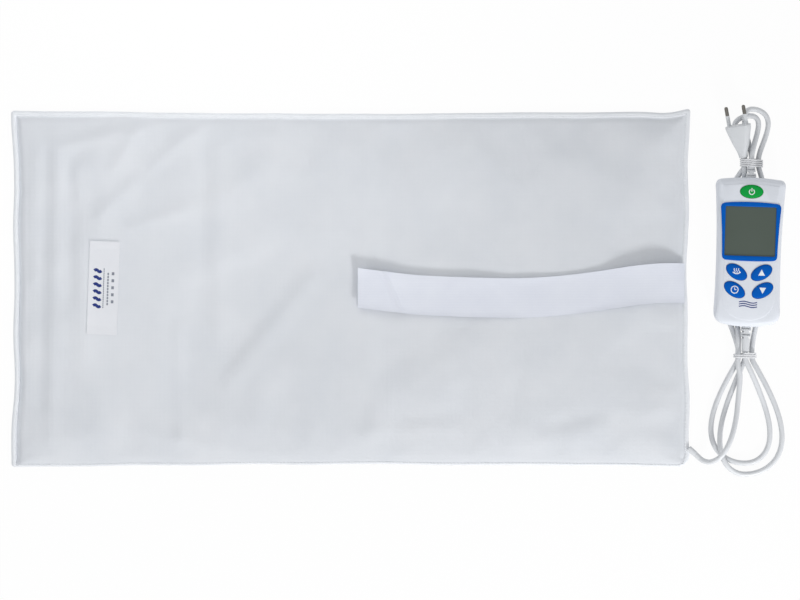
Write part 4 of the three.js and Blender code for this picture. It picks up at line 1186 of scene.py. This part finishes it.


# The hem stitches take the same lighter cotton, painted light.
hem_stitches = stitch_row("hem_stitches", [hem_seam()], True, HEM_PITCH, HEM_STITCH, PAINTED_LIGHT_HEM_COTTON)
label_ends = [label_seam(-1), label_seam(1)]
label_stitches = stitch_row("label_stitches", label_ends, False, LABEL_PITCH, LABEL_STITCH, LABEL_TAPE)
print("stitch faces", len(hem_stitches.data.polygons), len(label_stitches.data.polygons))

# %% Attach the strap, label and stitches to the pad's body and hide the imported parts they replace
for piece, slot_name in (
    (label_print, "label_tape"), (label_small_print, "label_tape"), (label_stitches, "label_tape"),
    (label, "label_tape"), (patch, "strap_webbing"), (strap, "strap_webbing"), (hem_stitches, "cover_cotton"),
):
    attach(piece, ROOT)
for piece, node in ((strap, "strap"), (patch, "strap_hook_patch"), (label, "label")):
    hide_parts(node)

# %% [markdown]
# ## The controller
# Two moulded shells meet at a fine groove. The front has a raised face whose foot is a round arc, a framed
# display and five oval keys that stand in their own holes with a clearance all round. Everything is drawn in
# the controller's own frame (across, along, up) and then placed by one matrix.

# %% Shell outline
TOP_BULGE = 1.8
FOOT_BULGE = 3.4
TOP_HALF_WIDTH = 34.6
WAIST_HALF_WIDTH = 31.6
FOOT_HALF_WIDTH = 32.8
TOP_CORNER_R = 7.0
FOOT_CORNER_R = 12.0
WALL = 2.0
FACE = 20.5


def bezier(points, steps):
    """Points along a quadratic or cubic Bezier curve, without its last one."""
    result = []
    for i in range(steps):
        row, t = [Vector(p) for p in points], i / steps
        while len(row) > 1:
            row = [mix(a, b, t) for a, b in zip(row, row[1:])]
        result.append(row[0])
    return result


def handset_outline(inset, foot_round=0.0):
    """The controller's outline drawn in all round; foot_round makes its lower end more of an arc."""
    top = HALF_LENGTH - inset
    wide, waist, foot = TOP_HALF_WIDTH - inset, WAIST_HALF_WIDTH - inset, FOOT_HALF_WIDTH - inset
    r = max(TOP_CORNER_R - inset, 1.5)
    q = max(FOOT_CORNER_R - inset, 2) + foot_round
    heel_x = foot - q
    plain_heel_x = FOOT_HALF_WIDTH - FOOT_CORNER_R
    heel = Vector((heel_x, -top + FOOT_BULGE * 0.6 * (heel_x / plain_heel_x) ** 2))
    side = Vector((foot, -top + q + FOOT_BULGE))
    shoulder = Vector((wide, top - r - TOP_BULGE))
    crown = Vector((wide - r, top - TOP_BULGE))
    right = bezier([(0, -top), (min(foot * 0.35, heel.x * 0.6), -top), heel], 16)
    right += bezier([heel, (foot, -top + FOOT_BULGE), side], 24)
    right += bezier([side, (waist - 0.2, -top * 0.4), (waist - 0.6, top * 0.3), shoulder], 40)
    right += bezier([shoulder, (wide, top - TOP_BULGE), crown], 16)
    right += bezier([crown, (wide * 0.4, top), (0, top)], 20)
    left = [Vector((-p.x, p.y)) for p in reversed(right[1:])]
    return right + [Vector((0, top))] + left


def shell_rings(stations):
    rings = []
    for inset, height, foot_round in stations:
        rings.append([Vector((p.x, p.y, height)) for p in handset_outline(inset, foot_round)])
    return rings


def placed(rings):
    return [[to_world @ p for p in ring] for ring in rings]


# %% Cutting tools


def prism(points, low, high):
    """A closed block with a flat outline, in the controller's frame."""
    rings = [[Vector((p[0], p[1], height)) for p in points] for height in (low, high)]
    return loft("cutter", placed(rings), None)


def rounded_box(width, length, radius, centre=(0, 0), steps=6):
    points = []
    for k, (sx, sy) in enumerate(((1, -1), (1, 1), (-1, 1), (-1, -1))):
        corner = (centre[0] + sx * (width / 2 - radius), centre[1] + sy * (length / 2 - radius))
        points += arc(corner, radius, -90 + 90 * k, 90 * k, steps)
    return points


def circle(centre, radius, steps=32):
    return arc(centre, radius, 0, 360 - 360 / steps, steps - 1)


def carve(obj, tool, operation="DIFFERENCE"):
    """Cut a tool out of obj, or join it on, and drop the tool."""
    step = obj.modifiers.new("carve", "BOOLEAN")
    step.operation = operation
    step.solver = "EXACT"
    step.object = tool
    bpy.context.view_layer.update()
    graph = bpy.context.evaluated_depsgraph_get()
    result = bpy.data.meshes.new_from_object(obj.evaluated_get(graph))
    obj.modifiers.remove(step)
    obj.data = result
    bpy.data.objects.remove(tool)


def smooth_shaded(obj, angle):
    obj.data.polygons.foreach_set("use_smooth", [True] * len(obj.data.polygons))
    obj.data.set_sharp_from_angle(angle=math.radians(angle))


# %% Shells
KEY_HALF = (11.4, 6.6)
KEY_CLEARANCE = 0.35
# Key name: across, along, tilt in degrees
KEYS = {
    "power": (0, 60, 0), "heat": (-12.4, -20.2, -31), "up": (12.4, -20.2, 31),
    "timer": (-13.9, -37.8, -31), "down": (13.9, -37.8, 31),
}
DISPLAY = (50.4, 49.0)
DISPLAY_V = 20.5
SCREWS = [(-24.5, 61), (24.5, 61), (-21, -57), (21, -57)]
# A shell's stations: inset of its outline, height, and how much rounder its foot is
FRONT_STATIONS = [
    (0.25, PARTING, 0), (0, PARTING + 0.3, 0), (0, 11, 0), (0, 13, 0), (0.2, 14.6, 0), (0.7, 16, 0),
    (1.35, 17.2, 0.3), (2.2, 18.2, 1), (3.1, 18.9, 3), (4, 19.4, 6.5), (5.2, 19.8, 12), (6.3, 20.0, 16),
    (6.55, 20.1, 16.8), (6.75, 20.35, 17), (7.1, FACE, 17.2),
]
FRONT_INSIDE = [(WALL, PARTING - 1, 0), (WALL, 13, 0), (WALL + 1, 16, 0), (WALL + 3, FACE - WALL, 0)]
REAR_STATIONS = [
    (5, 0, 0), (3.6, 0.25, 0), (2.4, 0.8, 0), (1.5, 1.6, 0), (0.8, 2.6, 0), (0.25, 3.8, 0), (0, 5, 0),
    (0, PARTING - 0.3, 0), (0.25, PARTING, 0),
]
REAR_INSIDE = [(6, WALL, 0), (WALL + 1, WALL + 1.5, 0), (WALL, 6, 0), (WALL, PARTING + 1, 0)]
SCREW_HEAD_D = 5.2
SCREW_HOLE_D = 3.1
HEAD_DEPTH = 3.0
BOSS_D = 6.4
BOARD_FLOOR = 11.0
THROUGH_FACE = (FACE - WALL - 1, FACE + 1)


def oval(grow, u, v, tilt, steps=72):
    turn = Matrix.Rotation(math.radians(tilt), 2)
    angles = [2 * math.pi * i / steps for i in range(steps)]
    flat = [Vector(((KEY_HALF[0] + grow) * math.cos(a), (KEY_HALF[1] + grow) * math.sin(a))) for a in angles]
    return [Vector((u, v)) + turn @ p for p in flat]


def cut_relief_bores(shell):
    for way in (-1, 1):
        bore = Matrix.Translation((0, way * HALF_LENGTH - 6, PARTING))
        profile = [(RELIEF_NECK_D / 2 + GAP, 0), (RELIEF_NECK_D / 2 + GAP, 12)]
        carve(shell, turned("bore", profile, to_world @ bore, None))


front_shell = loft("controller_front", placed(shell_rings(FRONT_STATIONS)), CASE)
carve(front_shell, loft("inside", placed(shell_rings(FRONT_INSIDE)), None))
for u, v, tilt in KEYS.values():
    carve(front_shell, prism(oval(KEY_CLEARANCE, u, v, tilt), *THROUGH_FACE))
carve(front_shell, prism(rounded_box(DISPLAY[0] + 1.2, DISPLAY[1] + 1.2, 1.5, (0, DISPLAY_V)), *THROUGH_FACE))
cut_relief_bores(front_shell)
smooth_shaded(front_shell, 32)

rear_shell = loft("controller_back", placed(shell_rings(REAR_STATIONS)), CASE)
carve(rear_shell, loft("inside", placed(shell_rings(REAR_INSIDE)), None))
for spot in SCREWS:
    carve(rear_shell, prism(circle(spot, BOSS_D / 2), 1, BOARD_FLOOR), "UNION")
    carve(rear_shell, prism(circle(spot, SCREW_HEAD_D / 2 + GAP), -1, HEAD_DEPTH))
    carve(rear_shell, prism(circle(spot, SCREW_HOLE_D / 2), 0, BOARD_FLOOR + 1))
cut_relief_bores(rear_shell)
smooth_shaded(rear_shell, 32)
print("shell faces", len(front_shell.data.polygons), len(rear_shell.data.polygons))

# %% [markdown]
# ### Display frame and keys
# The frame's sides are slightly hollow and its ends bulge. Each key is an oval cap with a soft crown over a
# trapped flange. Its white mark is printed upright, whatever the key's tilt.

# %% Display
BEZEL_TOP_HALF = 30.0
BEZEL_FOOT_HALF = 27.5
BEZEL_TOP = 50.0
BEZEL_FOOT = -9.3
BEZEL_R = 4.0
BEZEL_PROUD = 0.8
FRAME_RAYS = 220


def bezel_outline():
    shoulder, heel, r = BEZEL_TOP - 2.4, BEZEL_FOOT + 2, BEZEL_R
    wide, foot = BEZEL_TOP_HALF, BEZEL_FOOT_HALF
    right = bezier([(0, BEZEL_FOOT + 0.2), (foot * 0.5, BEZEL_FOOT + 0.2), (foot - r, heel - 1)], 12)
    right += bezier([(foot - r, heel - 1), (foot, heel - 0.5), (foot, heel + r)], 12)
    right += bezier([(foot, heel + r), (foot + 0.4, DISPLAY_V), (wide, shoulder - r)], 24)
    right += bezier([(wide, shoulder - r), (wide, shoulder), (wide - r, shoulder + 0.8)], 12)
    right += bezier([(wide - r, shoulder + 0.8), (wide * 0.5, BEZEL_TOP - 0.3), (0, BEZEL_TOP - 0.3)], 12)
    return right + [Vector((0, BEZEL_TOP - 0.3))] + [Vector((-p.x, p.y)) for p in reversed(right[1:])]


def rays(outline, centre):
    """Where even rays from a centre cross an outline, so that two outlines match point for point."""
    centre, points = Vector(centre), []
    for k in range(FRAME_RAYS):
        a = 2 * math.pi * k / FRAME_RAYS
        way = Vector((math.cos(a), math.sin(a)))
        for p, q in zip(outline, outline[1:] + outline[:1]):
            edge, start = q - p, p - centre
            bottom = way.x * edge.y - way.y * edge.x
            if abs(bottom) < 1e-9:
                continue
            along = (start.x * edge.y - start.y * edge.x) / bottom
            share = (start.x * way.y - start.y * way.x) / bottom
            if along > 0 and -1e-6 <= share <= 1 + 1e-6:
                points.append(centre + way * along)
                break
    return points


def frame_ring(outline, inset, height):
    """An outline drawn in towards the middle of the display, at a height."""
    middle = Vector(display_centre)
    return [Vector((*(p + (middle - p).normalized() * inset), height)) for p in outline]


display_centre = (0, DISPLAY_V)
outer_frame = rays(bezel_outline(), display_centre)
inner_frame = rays(rounded_box(DISPLAY[0], DISPLAY[1], 1.0, display_centre), display_centre)
top = FACE + BEZEL_PROUD
frame_section = [(outer_frame, 0, FACE), (outer_frame, 0, top - 0.35), (outer_frame, 0.15, top - 0.12)]
frame_section += [(outer_frame, 0.45, top), (inner_frame, -1.1, top), (inner_frame, -0.5, top - 0.12)]
frame_section += [(inner_frame, 0, top - 0.5), (inner_frame, 0, FACE)]
frame_rings = [frame_ring(*station) for station in frame_section]
frame_points = [p for ring in placed(frame_rings) for p in ring]
frame_faces = ring_faces(len(frame_rings), FRAME_RAYS, False)
last = (len(frame_rings) - 1) * FRAME_RAYS
for k in range(FRAME_RAYS):
    n = (k + 1) % FRAME_RAYS
    frame_faces.append((last + k, last + n, n, k))
bezel = mesh_object("display_frame", frame_points, frame_faces, BLUE, MM, 40)

GLASS, glass_tree, glass_shader = new_material("grey_lcd_glass", "#5A635B", 0.3, Specular_IOR_Level=0.05)
tint(glass_tree, glass_shader, object_noise(glass_tree, 30, 1.0), "Fac", "#555E56", "#5A635C")
lens_outline = rounded_box(DISPLAY[0] + 0.6, DISPLAY[1] + 0.6, 1.4, display_centre)
lens = prism(lens_outline, FACE - WALL, FACE - GAP)
lens.name = "display_window"
lens.data.materials.append(GLASS)
print("display frame faces", len(bezel.data.polygons))

# %% Keys and their marks
KEY_TOP = FACE + 1.6
KEY_DROP = 1.0
FLANGE_TOP = FACE - WALL - GAP
FLANGE_THICK = 1.2
KEY_FLANGE = 0.9


def key_height(share):
    """Height of a key's crown at a share of the way from its middle to its rim."""
    return KEY_TOP - KEY_DROP * share ** 5 - 0.12 * share ** 2


def key_cap(name, u, v, tilt, material):
    stations = [(KEY_FLANGE, FLANGE_TOP - FLANGE_THICK), (KEY_FLANGE, FLANGE_TOP), (0, FLANGE_TOP)]
    stations.append((0, key_height(1) - 0.25))
    rings = [[Vector((*p, height)) for p in oval(grow, u, v, tilt)] for grow, height in stations]
    for share in (0.995, 0.97, 0.93, 0.87, 0.79, 0.68, 0.54, 0.36, 0.16):
        middle = Vector((u, v))
        rings.append([Vector((*mix(middle, p, share), key_height(share))) for p in oval(0, u, v, tilt)])
    return loft(f"{name}_key_cap", placed(rings), material, 40)


def key_surface(u, v, tilt):
    back = Matrix.Rotation(-math.radians(tilt), 2)

    def place(p):
        own = back @ p
        share = min(math.hypot(own.x / KEY_HALF[0], own.y / KEY_HALF[1]), 1)
        return to_world @ Vector((u + p.x, v + p.y, key_height(share) - 0.02))
    return place


def bowl(width, drop):
    return [Vector((x / 10 * width, -drop * (1 - (x / 10) ** 2))) for x in range(-10, 11)]


def upright(count):
    """Points up from the middle, a quarter of a millimetre apart."""
    return [Vector((0, i / 4)) for i in range(count)]


KEY_MARKS = {
    "power": [stroke(arc((0, -0.3), 2.6, 122, 418), 0.85), stroke(upright(15), 0.85)],
    "heat": [stroke(wave(x, -0.9, 3.6, 0.6), 0.75) for x in (-2.2, 0, 2.2)] + [stroke(bowl(3.9, 1.7), 1.0)],
    "up": [triangle((0, -0.3), 6.6, 6.0, 1)],
    "down": [triangle((0, 0.3), 6.6, 6.0, -1)],
    "timer": [stroke(arc((0, 0), 3.5, 0, 360), 0.85), stroke(upright(10), 0.75),
              stroke([p.yx for p in upright(8)], 0.75)],
}
DOME_LOW = BOARD_FLOOR + 1.6
DOME_HIGH = FLANGE_TOP - FLANGE_THICK - GAP
RUBBER = moulded_plastic("grey_silicone", "#C3C6CA", "#CDD0D3", 0.6)
for name, (u, v, tilt) in KEYS.items():
    cap = key_cap(name, u, v, tilt, GREEN if name == "power" else BLUE)
    mark = printed(f"{name}_key_mark", KEY_MARKS[name], key_surface(u, v, tilt), PRINT)
    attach(cap, f"{name}_key")
    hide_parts(f"{name}_key")
    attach(mark, f"{name}_key")
    dome_place = to_world @ Matrix.Translation((u, v, 0)) @ Matrix.Rotation(math.pi / 2, 4, "X")
    profile = [(5, DOME_LOW), (4.9, DOME_LOW + 0.6), (4.6, DOME_LOW + 1)]
    profile += [(3.6, mix(DOME_LOW, DOME_HIGH, 0.7)), (3, DOME_HIGH)]
    dome = turned(f"{name}_key_dome", profile, dome_place, RUBBER, 32)
    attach(dome, ROOT)
    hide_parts(f"{name}_dome")
    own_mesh(dome)
    print(name, "key faces", len(cap.data.polygons))

# %% Plain mark under the keys


def face_surface(p):
    return to_world @ Vector((p.x, p.y, FACE - 0.02))


FACE_MARK_V = -52.0
face_waves = [[q.yx + Vector((0, FACE_MARK_V)) for q in wave(rise, -9, 9, 0.8)] for rise in (-2.2, 0, 2.2)]
face_strokes = [stroke(points, 1.0) for points in face_waves]
face_mark = printed("face_heat_mark", face_strokes, face_surface, NAVY, 0.05)
for piece, node, slot_name in (
    (front_shell, "front_shell", "case_plastic"), (rear_shell, "rear_shell", "case_plastic"),
    (bezel, "bezel", "blue_plastic"), (lens, "display_lens", "display_glass"),
):
    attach(piece, ROOT)
    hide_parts(node)
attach(face_mark, ROOT)

# %% [markdown]
# ## What is inside
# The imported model's own felts, wire, board and screws stay as they are and only take a finish.

# %% Finishes of the inner pieces
STEEL = moulded_plastic("zinc_plated_steel", "#8F9297", "#A3A6AA", 0.35, 0.5, 0.006, Metallic=1.0)
# Finish of each inner piece: name, darker and lighter shade, roughness, then the nodes that have it
INNER = [
    (("needled_felt", "#CFCABD", "#DDD8CC", 0.95, 1.5, 0.2), ["lower_felt", "upper_felt"]),
    (("heating_wire_sheath", "#A8623A", "#B97346", 0.45), ["heating_wire"]),
    (("black_component_resin", "#19191B", "#242427", 0.5), ["thermal_cutout", "relay"]),
    (("clear_light_guide", "#E2E7DF", "#EEF1EA", 0.2), ["light_guide", "display_panel"]),
    (("green_solder_mask", "#27603A", "#2F6F44", 0.35), ["circuit_board", "mains_terminal", "pad_terminal"]),
    (("ochre_capacitor", "#B57F28", "#C78F33", 0.4), ["capacitor"]),
]
finishes = [(STEEL, [f"case_screw_{i}" for i in range(1, 5)])]
finishes += [(moulded_plastic(*recipe), nodes) for recipe, nodes in INNER]
for material, nodes in finishes:
    for node in nodes:
        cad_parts[node].data.materials.clear()
        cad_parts[node].data.materials.append(material)
print("inner finishes", len(finishes))
